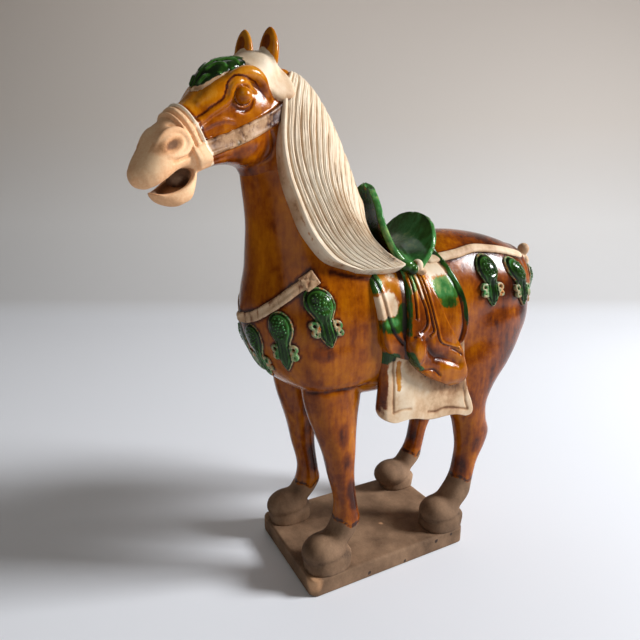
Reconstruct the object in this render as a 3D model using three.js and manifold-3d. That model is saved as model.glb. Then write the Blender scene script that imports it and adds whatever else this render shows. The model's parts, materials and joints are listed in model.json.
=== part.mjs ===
// A glazed pottery tomb horse: a saddled horse that stands on a slab plinth, head turned to
// its left. Horse, saddle, mane, harness and plinth are one hollow-cast piece of fired clay,
// so the model is one solid. It faces -Y, its left side is +X, and it stands on z = 0.

import * as THREE from 'three';
import { mergeVertices } from 'three/addons/utils/BufferGeometryUtils.js';
import Module from 'manifold-3d';

const wasm = await Module();
wasm.setup();

// Sizes in millimetres
const horseHeight = 435; // soles to ear tips
const plinthLength = 168;
const plinthWidth = 114;
const plinthThickness = 16;
const plinthCorner = 8;
const plinthChamfer = 1.5;
const strapWidth = 9;
const strapThickness = 3;
const nosebandWidth = 12;
const nosebandThickness = 2.2;
const cheekStrapWidth = 10;
const pendantLength = 54;
const pendantWidth = 26;
const pendantThickness = 5;
const eyeDiameter = 13;
const saddleThickness = 6;
const flapThickness = 5.5; // the blanket's flaps, which hang free below the belly's sides
const apronThickness = 9;
const coverThickness = 12;
const pleatDepth = 2.2;
const pleats = 4;
const maneGroove = 2.6; // depth of the furrows between locks
const maneLocks = { near: 7, far: 4 };

// The tables below are drawn in units of which the horse is 435 tall, with z up from its
// soles. A size above keeps its millimetres when the horse is made taller
const unit = horseHeight / 435;
const drawn = (size) => size / unit;

const { abs, cos, sin, sign, PI } = Math;
const { clamp, degToRad: radians, lerp, smoothstep } = THREE.MathUtils;
const point = (x, y, z) => new THREE.Vector3(x, y, z);
const xAxis = point(1, 0, 0);
const yAxis = point(0, 1, 0);
const zAxis = point(0, 0, 1);

// Frames in which sections are drawn: the trunk's run back along y, the legs' and neck's
// run up along z, and both are as wide as x
const trunkFrame = { origin: point(0, 0, 0), along: yAxis, up: zAxis, side: xAxis };
const uprightFrame = { origin: point(0, 0, 0), along: zAxis, up: yAxis, side: xAxis };

// The head is turned and tipped about the poll, and its sections follow the nose line
const headTurn = radians(25);
const headTip = radians(6);
const noseDrop = radians(30);
const poll = point(0, -86, 409);
const headForward = point(sin(headTurn), -cos(headTurn), 0);
const headSide = point(cos(headTurn) * cos(headTip), sin(headTurn) * cos(headTip), -sin(headTip));
const headUp = headForward.clone().cross(headSide);
const headFrame = {
  origin: poll,
  along: headForward.clone().applyAxisAngle(headSide, noseDrop),
  up: headUp.clone().applyAxisAngle(headSide, noseDrop),
  side: headSide,
};

// Section tables. Each row is: place along the frame, lowest, highest, half width, side shift,
// and for the trunk how square its section is, where 2 is an ellipse
const trunkTable = [
  [-117, 212, 236, 6, 0, 2.1],
  [-112, 198, 250, 22, 0, 2.1],
  [-100, 176, 262, 38, 0, 2.2],
  [-82, 160, 270, 48, 0, 2.4],
  [-50, 149, 274, 52, 0, 2.7],
  [30, 148, 273, 53, 0, 2.7],
  [70, 155, 280, 52, 0, 2.3],
  [105, 166, 284, 51, 0, 2.2],
  [135, 174, 281, 50, 0, 2.2],
  [158, 184, 274, 43, 0, 2.1],
  [174, 198, 263, 30, 0, 2.1],
  [183, 216, 248, 11, 0, 2.1],
];
const neckTable = [
  [205, -104, 0, 36, 0],
  [230, -112, 14, 42, 0],
  [252, -113, 12, 43, 0],
  [272, -112, 4, 40, 0],
  [292, -111, -8, 34, 0],
  [332, -115, -26, 26, 1],
  [352, -117, -36, 23, 2],
  [372, -116, -47, 20.5, 3],
  [390, -109, -58, 17.5, 3],
  [407, -93, -75, 9, 0],
];
const headTable = [
  [2, -38, -2, 9, 0],
  [14, -47, 6, 17, 0],
  [30, -50, 13, 21.5, 0],
  [46, -49, 18, 22.5, 0],
  [60, -43, 19.5, 20.5, 0],
  [75, -36, 16.5, 17.5, 0],
  [90, -29, 13, 14.5, 0],
  [104, -25, 9, 14, 0],
  [114, -22.5, 5, 15.5, 0],
  [124, -22.5, 1, 16.5, 0],
  [134, -22.5, -4.5, 15.5, 0],
  [142, -21, -7.5, 12, 0],
  [147, -17, -11, 6, 0],
];
const jawTable = [
  [56, -53, -30, 13, 0],
  [74, -41, -26, 14, 0],
  [92, -33, -24, 12, 0],
  [104, -32, -26, 11, 0],
  [111, -38, -30, 11.5, 0],
  [119, -43, -33.5, 12.5, 0],
  [128, -44, -35, 12.5, 0],
  [135, -41, -33, 10.5, 0],
  [139, -36, -30, 6, 0],
];
const foreLegTable = [
  [6, -68, -48, 12, 40],
  [18, -69, -43, 12.5, 39.5],
  [28, -60, -34, 12, 39],
  [38, -54, -29, 12, 38.5],
  [48, -52, -30.5, 10.5, 38],
  [84, -58.5, -34.5, 11, 38],
  [104, -63, -33.5, 13, 37.5],
  [122, -69, -31.5, 15.5, 36.5],
  [142, -77, -27, 19, 34],
  [162, -83, -21, 20, 29],
];
const hindLegTable = [
  [6, 52, 76, 12, 40],
  [17, 55, 85, 13, 40],
  [29, 67, 97, 13, 40],
  [42, 76, 101, 11, 40],
  [64, 82, 107, 10.5, 40],
  [79, 83, 115, 11.5, 40],
  [92, 81, 118, 13, 40],
  [106, 78, 114, 13.5, 39.5],
  [122, 71, 114, 15.5, 38],
  [140, 63, 124, 20, 35],
  [160, 57, 143, 24, 32],
  [182, 58, 160, 26, 28],
  [208, 70, 171, 26, 24],
  [232, 95, 162, 14, 18],
];
const foreHoofTable = [
  [-1, -82, -39, 17, 40],
  [9, -82, -38.5, 17.5, 40],
  [16, -78, -40, 16, 40],
  [22, -71, -43, 11, 39.5],
];
const hindHoofTable = [
  [-1, 45, 87, 17, 40],
  [9, 45, 88, 17.5, 40],
  [16, 49, 88, 16, 40],
  [22, 57, 85, 11, 40],
];
const farHindLeg = { slimness: 0.86, shift: 4, from: 110, to: 170 }; // slimmer below the thigh
const earTable = [
  [-6, -3.5, 4, 5, 0],
  [3, -3.5, 4, 6, 0],
  [10, -3.2, 3, 5.8, 0],
  [16, -2.4, 1.6, 3.8, 0],
  [21, -1, 0.4, 0.9, 0],
];
const foreheadBossTable = [
  [31, 10, 16, 5, 0],
  [37, 12, 21.5, 9, 0],
  [49, 12, 24.5, 10, 0],
  [60, 12, 24.5, 9, 0],
  [71, 11, 21, 7, 0],
  [79, 11, 16.5, 3, 0],
];

// Rolls laid on the head's near side: along the nose line, up, side, half height, half width
const browRoll = [
  [68, 0, 17, 2.2, 2.2],
  [61, 11, 18, 2.6, 2.6],
  [50, 14.5, 17.5, 3.2, 3.2],
  [40, 11, 20, 3, 3],
  [34, 1, 22, 2.2, 2.2],
];
const forelockRoll = [
  [19, 13.5, -2, 5, 7],
  [20.5, 12, 11, 5.5, 8.5],
  [20.5, 2, 21.5, 5.2, 8.8],
  [18.5, -10, 23.5, 4.2, 7.4],
  [17, -19, 22, 2, 4],
];
const cheekStrapRoll = [
  [97, -21, 14, 3],
  [80, -19, 18, 3],
  [62, -19.5, 21.5, 3.2],
  [44, -20.5, 23.5, 3],
  [27, -21, 23, 2.5],
];

// Balls on the near side: place along, up and to the side, then half sizes the same way
const eyePlace = [53, 3, 18.5];
const nostril = { place: [119, -3, 12.5], half: [8.5, 6, 5] };
const nosebandBoss = { place: [100, -22, 12.5], half: [6, 5.5, 4] };
const earPlace = [17, 9, 12.5];
const earHollow = { place: [10, 5, 0], half: [9, 4, 3.6] };
const coverKnot = { place: [14, 264, 51], half: [9, 6.5, 7] };
const tailLumps = [
  { place: [184, 254, 0], half: [13, 6, 6.5] },
  { place: [197, 262, 0], half: [6, 6.5, 6] },
  { place: [198, 250, 0], half: [5, 6.5, 6.5] },
];

// The guides of the mane, from the crest down to the lower edge: front, middle, rear
const maneGuides = [
  [
    [0, -78, 405], [17, -84, 392], [28, -91, 366], [31, -93, 344],
    [35, -89, 320], [42, -80, 290], [49, -64, 270], [52, -38, 259],
  ],
  [
    [0, -47, 385], [19, -52, 373], [29, -57, 350], [36, -57, 326],
    [44, -50, 301], [51, -40, 282], [54, -24, 269], [55, -6, 259],
  ],
  [
    [0, -10, 314], [14, -10, 310], [26, -12, 304], [37, -16, 296],
    [45, -17, 289], [51, -13, 281], [53, -3, 272], [50, 12, 262],
  ],
];
const maneInside = point(-14, -3, -8); // from the mane's face to its back, inside the neck

// Saddle sections from the pommel's top to the cantle's: centre y, z, edge y, z, half width
const saddleTable = [
  [2, 329, 1, 327, 8],
  [2.5, 323, 0, 317, 24],
  [3, 310, -1, 300, 36],
  [5, 293, -1, 282, 45],
  [10, 281, 4, 268, 49],
  [22, 275, 18, 257, 50],
  [42, 286, 38, 275, 46],
  [47, 298, 43, 290, 38],
  [49, 302, 48, 301, 10],
];

// Cloths down the side: z, front edge y, rear edge y, how far each stands off the body
const blanketTable = [
  [250, -18, 58, 1.5],
  [226, -22, 70, 3],
  [200, -22, 76, 4],
  [176, -21, 81, 4],
  [137, -18, 90, 5],
  [128, -12, 91, 5],
  [122, 4, 78, 5],
];
const apronTable = [
  [266, -6, 46, 1],
  [252, -18, 58, 3],
  [226, -22, 69, 5],
  [200, -18, 74, 7],
  [186, -8, 72, 7],
];
const coverTable = [
  [266, 6, 26, 4],
  [252, 6, 34, 6],
  [232, 8, 45, 8],
  [212, 9, 55, 9.5],
  [194, 10, 64, 12],
  [176, 18, 71, 13.5],
  [162, 34, 74, 12],
  [152, 52, 73, 8],
];
const clothShoulder = 262; // above this height a cloth stands no further out
const bellySide = { height: 205, halfWidth: 52 }; // below this height a cloth hangs free

// Straps and pendants go round the trunk: angle from the front in degrees, height
const trunkMiddle = { chest: -66, rump: 92 };
const breastStrap = [
  [-76, 250], [-58, 244], [-40, 234], [-20, 225], [0, 221],
  [20, 225], [40, 234], [58, 244], [76, 250],
];
const crupperStrap = [
  [58, 266], [88, 270], [120, 269], [150, 265], [180, 257],
];
const pendants = [
  { middle: 'chest', angle: 80, top: 249 },
  { middle: 'chest', angle: 46, top: 231 },
  { middle: 'chest', angle: 15, top: 219 },
  { middle: 'rump', angle: 98, top: 266 },
  { middle: 'rump', angle: 134, top: 262 },
  { middle: 'rump', angle: 163, top: 252 },
];
// A pendant's outline: a round head, a neck with a scroll to each side, and a point. Each row
// is a share of its length and a share of its width
const pendantOutline = [
  [0, 0.5], [0.26, 1], [0.54, 0.42], [0.68, 0.9], [0.8, 0.45], [1, 0.1],
];

// A solid for joining and cutting, from a closed geometry, with its faces turned outwards
function solid(geometry) {
  const bare = geometry.clone();
  bare.deleteAttribute('normal');
  bare.deleteAttribute('uv');
  const { index, attributes } = mergeVertices(bare);
  const corner = (i) => point(0, 0, 0).fromBufferAttribute(attributes.position, index.getX(i));
  let volume = 0;
  for (let i = 0; i < index.count; i += 3) {
    volume += corner(i).dot(corner(i + 1).cross(corner(i + 2)));
  }
  return new wasm.Manifold(
    new wasm.Mesh({
      numProp: 3,
      vertProperties: new Float32Array(attributes.position.array),
      triVerts: Uint32Array.from(volume > 0 ? index.array : index.array.toReversed()),
    }),
  );
}

// A solid whose closed skin passes over rings of equally many points, with a fan at each end
function skin(rings) {
  const count = rings[0].length;
  const points = rings.flat();
  const middle = (ring) => ring.reduce((sum, p) => sum.add(p), point(0, 0, 0)).divideScalar(count);
  const first = points.push(middle(rings[0])) - 1;
  const final = points.push(middle(rings[rings.length - 1])) - 1;
  const last = (rings.length - 1) * count;
  const index = [];
  for (let j = 0; j < count; j += 1) {
    const next = (j + 1) % count;
    index.push(first, next, j, final, last + j, last + next);
    for (let row = 0; row < last; row += count) {
      index.push(row + j, row + next, row + count + j);
      index.push(row + next, row + count + next, row + count + j);
    }
  }
  return solid(new THREE.BufferGeometry().setFromPoints(points).setIndex(index));
}

// A point of a frame, from its places along, up and to the side
function inFrame(frame, along, up, side) {
  return frame.origin.clone()
    .addScaledVector(frame.along, along)
    .addScaledVector(frame.up, up)
    .addScaledVector(frame.side, side);
}

// A row of a table at any place along it
function rowAt(table, along) {
  const found = table.findIndex((row) => row[0] > along);
  const next = found < 0 ? table.length - 1 : Math.max(found, 1);
  const [a, b] = [table[next - 1], table[next]];
  const share = clamp((along - a[0]) / (b[0] - a[0]), 0, 1);
  return a.map((value, column) => lerp(value, b[column], share));
}

// A body, limb or head: rounded sections skinned along a frame. mirror -1 is the far side,
// egg widens the lower half, and grow thickens it all round
function limb(frame, table, { sides = 8, power = 2.2, egg = 0, grow = 0, mirror = 1 } = {}) {
  return skin(table.map(([along, low, high, half, shift, squareness = power]) => {
    const ring = [];
    for (let j = 0; j < sides; j += 1) {
      const angle = (2 * PI * j) / sides;
      const across = sign(cos(angle)) * abs(cos(angle)) ** (2 / squareness);
      const rise = sign(sin(angle)) * abs(sin(angle)) ** (2 / squareness);
      const up = (low + high) / 2 + ((high - low) / 2 + grow) * rise;
      const side = mirror * shift + (half + grow) * across * (1 - egg * rise);
      ring.push(inFrame(frame, along, up, side));
    }
    return ring;
  }));
}

// A field that is below zero inside the trunk
const trunkEgg = 0.06;
function trunkField(p) {
  const [y, low, high, half, , power] = rowAt(trunkTable, p.y);
  const rise = (p.z - (low + high) / 2) / ((high - low) / 2);
  const across = p.x / (half * (1 - trunkEgg * clamp(rise, -1, 1)));
  return abs(across) ** power + abs(rise) ** power - 1 + (p.y - y) ** 2;
}

// The place where a ray from inside leaves the trunk, and the direction out of it there
function onTrunk(inner, direction) {
  let [near, far] = [0, 130];
  while (far - near > 0.001) {
    const reach = (near + far) / 2;
    if (trunkField(inner.clone().addScaledVector(direction, reach)) < 0) near = reach;
    else far = reach;
  }
  const place = inner.clone().addScaledVector(direction, near);
  const out = point(0, 0, 0);
  for (const axis of [xAxis, yAxis, zAxis]) {
    const ahead = trunkField(place.clone().addScaledVector(axis, 1));
    const behind = trunkField(place.clone().addScaledVector(axis, -1));
    out.addScaledVector(axis, ahead - behind);
  }
  return { place, out: out.normalize() };
}

// The same, round the trunk at a height: the angle is from the front, towards the near side
function roundTrunk(middle, angle, height) {
  const turn = radians(angle);
  return onTrunk(point(0, trunkMiddle[middle], height), point(sin(turn), -cos(turn), 0));
}

// A flat strap laid round the trunk through angles and heights
function strap(middle, stations) {
  const laid = stations.map(([angle, height]) => roundTrunk(middle, angle, height));
  const [half, thick] = [drawn(strapWidth) / 2, drawn(strapThickness)];
  return skin(laid.map(({ place, out }, i) => {
    const ahead = laid[Math.min(i + 1, laid.length - 1)].place;
    const behind = laid[Math.max(i - 1, 0)].place;
    const across = ahead.clone().sub(behind).cross(out).normalize();
    const corners = [[half, -thick], [half, thick], [-half, thick], [-half, -thick]];
    return corners.map(([edge, off]) => place.clone()
      .addScaledVector(across, edge).addScaledVector(out, off));
  }));
}

// A drop that hangs from a strap and follows the trunk down
function pendant({ middle, angle, top }, mirror) {
  const depth = drawn(pendantThickness);
  return skin(pendantOutline.map(([share, width]) => {
    const height = top - share * drawn(pendantLength);
    const { place, out } = roundTrunk(middle, mirror * angle, height);
    const side = out.clone().cross(zAxis).normalize();
    const half = (width * drawn(pendantWidth)) / 2;
    const raised = depth * lerp(0.6, 1, width);
    const corners = [[half, -depth], [half * 0.6, raised], [-half * 0.6, raised], [-half, -depth]];
    return corners.map(([edge, off]) => place.clone()
      .addScaledVector(side, edge).addScaledVector(out, off));
  }));
}

// A ball squeezed to three half sizes along a frame
function ball(frame, { place, half }, mirror = 1, sides = 6) {
  const [along, up, side] = place;
  const turn = new THREE.Matrix4().makeBasis(
    frame.along.clone().multiplyScalar(half[0]),
    frame.up.clone().multiplyScalar(half[1]),
    frame.side.clone().multiplyScalar(half[2]),
  );
  turn.setPosition(inFrame(frame, along, up, mirror * side));
  return solid(new THREE.SphereGeometry(1, sides, sides - 2).applyMatrix4(turn));
}

// A rounded roll laid on the head through the rows of its table
function roll(rows, mirror, halfWidth) {
  const sides = 6;
  const places = rows.map(([along, up, side]) => inFrame(headFrame, along, up, mirror * side));
  return skin(rows.map(([along, , , thick, wide = halfWidth], i) => {
    const ahead = places[Math.min(i + 1, places.length - 1)];
    const run = ahead.clone().sub(places[Math.max(i - 1, 0)]).normalize();
    const out = places[i].clone().sub(inFrame(headFrame, along, -20, 0));
    const across = run.clone().cross(out).normalize();
    const rise = across.clone().cross(run);
    return Array.from({ length: sides }, (unused, j) => places[i].clone()
      .addScaledVector(across, wide * cos((2 * PI * j) / sides))
      .addScaledVector(rise, thick * sin((2 * PI * j) / sides)));
  }));
}

function plinth() {
  const x = plinthWidth / 2 - plinthChamfer;
  const y = plinthLength / 2 - plinthChamfer;
  const r = plinthCorner;
  const outline = new THREE.Shape();
  outline.absarc(x - r, -y + r, r, -PI / 2, 0);
  outline.absarc(x - r, y - r, r, 0, PI / 2);
  outline.absarc(-x + r, y - r, r, PI / 2, PI);
  outline.absarc(-x + r, -y + r, r, PI, 1.5 * PI);
  const slab = new THREE.ExtrudeGeometry(outline, {
    depth: plinthThickness - 2 * plinthChamfer,
    bevelSize: plinthChamfer,
    bevelThickness: plinthChamfer,
    bevelSegments: 1,
    curveSegments: 3,
  });
  return solid(slab.translate(0, 0, plinthChamfer));
}

// Legs and hooves of one side
function legs(mirror) {
  const { slimness, shift, from, to } = farHindLeg;
  const thinner = ([z, low, high, half, side]) => {
    const thigh = mirror > 0 ? 1 : smoothstep(z, from, to);
    const share = lerp(slimness, 1, thigh);
    const centre = (low + high) / 2 + lerp(shift, 0, thigh);
    const reach = ((high - low) / 2) * share;
    return [z, centre - reach, centre + reach, half * share, side];
  };
  return limb(uprightFrame, foreLegTable, { mirror })
    .add(limb(uprightFrame, foreHoofTable, { mirror }))
    .add(limb(uprightFrame, hindLegTable.map(thinner), { mirror }))
    .add(limb(uprightFrame, hindHoofTable, { mirror }));
}

// An ear: a leaf that stands on the skull, hollowed in front
function ear(mirror) {
  const [along, up, side] = earPlace;
  const frame = {
    origin: inFrame(headFrame, along, up, mirror * side),
    along: headUp.clone().addScaledVector(headForward, 0.12).normalize(),
    up: headForward,
    side: headSide,
  };
  return limb(frame, earTable, { sides: 6 }).subtract(ball(frame, earHollow));
}

// Skull and jaw, and on each side an ear, eye, brow, nostril, half of the combed forelock and
// a cheek strap. Noseband and cheek straps meet at two bosses
function head() {
  const skull = { power: 2.3, egg: 0.12, sides: 12 };
  const middle = nosebandBoss.place[0];
  const bandEnds = [middle - drawn(nosebandWidth) / 2, middle + drawn(nosebandWidth) / 2];
  const band = bandEnds.map((along) => rowAt(headTable, along));
  const eyeHalf = drawn(eyeDiameter) / 2;
  const eye = { place: eyePlace, half: [eyeHalf, eyeHalf, eyeHalf] };
  let all = limb(headFrame, headTable, skull)
    .add(limb(headFrame, jawTable, { sides: 10 }))
    .add(limb(headFrame, band, { ...skull, grow: drawn(nosebandThickness) }))
    .add(limb(headFrame, foreheadBossTable, { power: 2, sides: 8 }));
  for (const side of [-1, 1]) {
    all = all.add(ear(side))
      .add(ball(headFrame, eye, side, 8))
      .add(ball(headFrame, nostril, side))
      .add(ball(headFrame, nosebandBoss, side))
      .add(roll(browRoll, side))
      .add(roll(forelockRoll, side))
      .add(roll(cheekStrapRoll, side, drawn(cheekStrapWidth) / 2));
  }
  return all;
}

// One side of the mane: locks that leave the crest and sweep back to the saddle. Each line
// across them is a parabola through the three guides, with a furrow after every lock
function mane(mirror, locks) {
  const columns = 2 * locks;
  const furrow = drawn(maneGroove) / 2;
  return skin(maneGuides[0].map((unused, row) => {
    const outer = [];
    const inner = [];
    for (let j = 0; j <= columns; j += 1) {
      const s = j / columns;
      const weights = [2 * (s - 0.5) * (s - 1), 4 * s * (1 - s), 2 * s * (s - 0.5)];
      const place = point(0, 0, 0);
      maneGuides.forEach((guide, g) => place.addScaledVector(point(...guide[row]), weights[g]));
      const back = place.clone().add(maneInside);
      const bump = j % 2 === 0 ? -furrow : furrow;
      place.add(point(bump, 0, bump / 2));
      outer.push(place.multiply(point(mirror, 1, 1)));
      inner.unshift(back.multiply(point(mirror, 1, 1)));
    }
    return outer.concat(inner);
  }));
}

function saddle() {
  const half = 3;
  const surface = saddleTable.map(([yMid, zMid, yEdge, zEdge, width]) => {
    const row = [];
    for (let j = -half; j <= half; j += 1) {
      const share = sin((PI * j) / (2 * half));
      row.push(point(share * width, lerp(yMid, yEdge, share ** 2), lerp(zMid, zEdge, share ** 2)));
    }
    return row;
  });
  const at = (row, j) => surface[clamp(row, 0, surface.length - 1)][clamp(j, 0, 2 * half)];
  return skin(surface.map((row, i) => {
    const under = row.map((place, j) => {
      const down = at(i + 1, j).clone().sub(at(i - 1, j));
      const out = at(i, j + 1).clone().sub(at(i, j - 1)).cross(down).normalize();
      return place.clone().addScaledVector(out, -drawn(saddleThickness));
    });
    return row.concat(under.reverse());
  }));
}

// A cloth that lies on the trunk's side and hangs free below its widest place
function cloth(table, mirror, thickness, { columns = 4, fold = 0 } = {}) {
  return skin(table.map(([z, front, rear, off]) => {
    const outer = [];
    const inner = [];
    for (let j = 0; j <= columns; j += 1) {
      const y = lerp(front, rear, j / columns);
      const body = onTrunk(point(0, y, Math.min(z, clothShoulder)), xAxis).place.x;
      const side = z < bellySide.height ? Math.max(body, bellySide.halfWidth) : body;
      const x = side + off - (j % 2 === 0 ? 0 : fold);
      outer.push(point(mirror * x, y, z));
      inner.unshift(point(mirror * (x - thickness), y, z));
    }
    return outer.concat(inner);
  }));
}

function cloths(mirror) {
  const folds = { columns: 2 * pleats, fold: drawn(pleatDepth) };
  return cloth(blanketTable, mirror, drawn(flapThickness))
    .add(cloth(apronTable, mirror, drawn(apronThickness)))
    .add(cloth(coverTable, mirror, drawn(coverThickness), folds))
    .add(ball(trunkFrame, coverKnot, mirror));
}

function horse() {
  let all = limb(trunkFrame, trunkTable, { sides: 16, egg: trunkEgg })
    .add(limb(uprightFrame, neckTable, { sides: 12, power: 2.1 }))
    .add(head());
  for (const side of [-1, 1]) {
    all = all.add(legs(side)).add(mane(side, maneLocks[side > 0 ? 'near' : 'far']));
    all = all.add(cloths(side));
    pendants.forEach((one) => { all = all.add(pendant(one, side)); });
    all = all.add(strap('rump', crupperStrap.map(([angle, height]) => [side * angle, height])));
  }
  all = all.add(strap('chest', breastStrap)).add(saddle());
  tailLumps.forEach((lump) => { all = all.add(ball(trunkFrame, lump)); });
  return all;
}

const figure = horse().scale(unit).translate([0, 0, plinthThickness]).add(plinth());
const faces = figure.getMesh();
const geometry = new THREE.BufferGeometry();
geometry.setAttribute('position', new THREE.BufferAttribute(faces.vertProperties, 3));
geometry.setIndex(new THREE.BufferAttribute(faces.triVerts, 1));
geometry.computeVertexNormals();

const glaze = new THREE.MeshStandardMaterial({ color: 0xa85a14, roughness: 0.25, metalness: 0 });
const mesh = new THREE.Mesh(geometry, glaze);
mesh.name = 'tomb_horse';

const group = new THREE.Group();
group.add(mesh);
export default group;
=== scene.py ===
# %% [markdown]
# # A glazed pottery tomb horse
# This lesson builds a saddled horse in three-colour lead glaze, 446 mm tall, that stands on a
# bare clay slab. The real one was pressed in moulds, luted together, glazed and fired as one.
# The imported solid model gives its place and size, and everything here is laid over that.

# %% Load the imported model
import json
import math

import bpy
import numpy as np
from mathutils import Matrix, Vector

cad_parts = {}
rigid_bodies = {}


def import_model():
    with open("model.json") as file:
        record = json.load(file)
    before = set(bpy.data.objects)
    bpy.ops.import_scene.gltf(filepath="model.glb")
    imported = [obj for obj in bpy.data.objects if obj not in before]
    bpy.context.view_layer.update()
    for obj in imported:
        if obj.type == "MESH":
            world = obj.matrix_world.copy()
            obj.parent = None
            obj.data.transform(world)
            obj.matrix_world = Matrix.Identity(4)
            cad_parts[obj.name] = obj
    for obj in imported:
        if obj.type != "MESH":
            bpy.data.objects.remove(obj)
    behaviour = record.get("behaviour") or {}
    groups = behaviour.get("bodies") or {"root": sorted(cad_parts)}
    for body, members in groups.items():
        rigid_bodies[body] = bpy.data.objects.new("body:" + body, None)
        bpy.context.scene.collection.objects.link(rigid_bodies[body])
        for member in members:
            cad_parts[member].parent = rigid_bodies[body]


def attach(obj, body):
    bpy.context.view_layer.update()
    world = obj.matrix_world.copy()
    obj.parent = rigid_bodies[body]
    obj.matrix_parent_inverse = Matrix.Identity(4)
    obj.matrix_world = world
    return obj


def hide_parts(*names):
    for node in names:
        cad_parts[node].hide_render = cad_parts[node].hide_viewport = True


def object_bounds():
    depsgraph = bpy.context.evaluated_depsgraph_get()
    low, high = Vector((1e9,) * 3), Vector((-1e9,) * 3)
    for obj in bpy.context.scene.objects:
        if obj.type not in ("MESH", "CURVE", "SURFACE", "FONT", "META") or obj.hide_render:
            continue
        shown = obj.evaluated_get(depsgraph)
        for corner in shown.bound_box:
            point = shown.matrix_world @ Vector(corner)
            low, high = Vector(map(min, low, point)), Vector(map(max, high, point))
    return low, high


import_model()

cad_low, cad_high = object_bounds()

print("packed model, metres:", tuple(cad_low), tuple(cad_high))

# %% [markdown]
# ## The measuring frame
# The tables are in millimetres, with z up from the soles, as a modeller would note them from
# the finished clay. The horse faces -y and its left side is +x. One factor ties them to the
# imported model, so the horse still fits if that is made taller or shorter.

# %% Millimetres on the table to metres in the scene
SLAB_THICKNESS = 16.0
EAR_TIPS = 430.4
MM = 0.001
unit = (cad_high.z / MM - SLAB_THICKNESS) / EAR_TIPS


def to_scene(points):
    """Table millimetres, with z from the soles, to scene metres, with z from the underside."""
    return (np.asarray(points, float) * unit + [0.0, 0.0, SLAB_THICKNESS]) * MM


print("size against the tables:", round(unit, 4))

# %% [markdown]
# ## The photographer's camera
# The camera stands at the height of the saddle, about half a metre from the horse's left
# shoulder, as a phone would. The near hooves are then larger than the far ones.

# %% Camera
PHOTO_PIXELS = 640
FOCAL_PIXELS = 513.6
CAMERA_AT = (0.3870, -0.2486, 0.3273)
CAMERA_AZIMUTH = math.radians(62.44)
CAMERA_DOWN = math.radians(13.0)

camera_data = bpy.data.cameras.new("photographer")
camera = bpy.data.objects.new("photographer", camera_data)
bpy.context.scene.collection.objects.link(camera)
camera_data.sensor_width = 36.0
camera_data.lens = camera_data.sensor_width * FOCAL_PIXELS / PHOTO_PIXELS
camera.location = CAMERA_AT
camera.rotation_euler = (math.radians(90.0) - CAMERA_DOWN, 0.0, CAMERA_AZIMUTH)
bpy.context.scene.camera = camera
# Colours come out as they are written, as a phone would show them
bpy.context.scene.view_settings.view_transform = "Standard"
print("lens, mm:", round(camera_data.lens, 2))

# %% [markdown]
# ## Clay as a distance field
# Clay forms melt into each other: a thigh grows out of the rump, and a lid is pressed on an
# eyeball. Box modelling such joins takes a long time. Here each form is a rule that gives the
# distance to its surface, and a soft minimum of two distances is a join with a fillet. The
# skin is then found on a grid, as a potter's wire would find it.

# %% Smooth curves through the rows of a table
def through_rows(table, count=500):
    """Places and values along a table, joined by curves that pass through every row."""
    rows = np.array(table, float)
    x, values = rows[:, 0], rows[:, 1:]
    slopes = np.gradient(values, x, axis=0)
    fine = np.linspace(x[0], x[-1], count)
    i = np.clip(np.searchsorted(x, fine, side="right") - 1, 0, len(x) - 2)
    step = (x[i + 1] - x[i])[:, None]
    t = (fine - x[i])[:, None] / step
    rise = 3 * t**2 - 2 * t**3
    bend = t * (1 - t) ** 2 * slopes[i] - t**2 * (1 - t) * slopes[i + 1]
    return fine, (1 - rise) * values[i] + rise * values[i + 1] + step * bend


def through_points(points, count):
    """Points along a smooth curve through the given ones."""
    points = np.array(points, float)
    steps = np.linalg.norm(np.diff(points[:, :3], axis=0), axis=1)
    run = np.concatenate([[0.0], np.cumsum(steps)])
    return through_rows(np.column_stack([run, points]), count)[1]


print("a curve through heights 0, 1 and 0:", through_rows([(0, 0), (1, 1), (2, 0)], 5)[1].ravel())

# %% Forms: lofts, ropes and balls
class Form:
    """A distance rule, and the box that it lies in."""

    def __init__(self, distance, low, high):
        self.distance = distance
        self.low = np.array(low, float)
        self.high = np.array(high, float)

    def near(self, points, pad):
        """Which points lie in the box, or within a pad of it."""
        return np.all((points > self.low - pad) & (points < self.high + pad), axis=1)


def loft(axes, table, power=2.2, egg=0.0, mirror=1, grow=0.0):
    """Rounded sections along an axis: place, lowest, highest, half width, side shift, power."""
    origin, along, up, side = axes
    places, rows = through_rows(table)

    def distance(points):
        offset = points - origin
        place, rise, width = offset @ along, offset @ up, offset @ side
        low, high, half, shift = (np.interp(place, places, rows[:, k]) for k in range(4))
        n = np.interp(place, places, rows[:, 4]) if rows.shape[1] > 4 else power
        reach = (high - low) / 2 + grow
        u = (rise - (low + high) / 2) / reach
        half = (half + grow) * (1 - egg * np.clip(u, -1, 1))
        u, v = np.abs(u), np.abs((width - mirror * shift) / half)
        r = np.maximum((u**n + v**n) ** (1 / n), 1e-3)
        slope = np.hypot(u ** (n - 1) / reach, v ** (n - 1) / half) / r ** (n - 1)
        inside = (r - 1) / np.maximum(slope, 1 / np.maximum(reach, half))
        beyond = np.maximum(places[0] - place, place - places[-1])
        outside = np.hypot(np.maximum(inside, 0), np.maximum(beyond, 0))
        return outside + np.minimum(np.maximum(inside, beyond), 0)

    corners = []
    for end in (0, 1):
        rise = rows[:, end] + (grow if end else -grow)
        for flank in (-1, 1):
            width = mirror * rows[:, 3] + flank * (rows[:, 2] + grow) * (1 + abs(egg))
            corners.append(
                origin + np.outer(places, along) + np.outer(rise, up) + np.outer(width, side))
    corners = np.concatenate(corners)
    return Form(distance, corners.min(0), corners.max(0))


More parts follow.
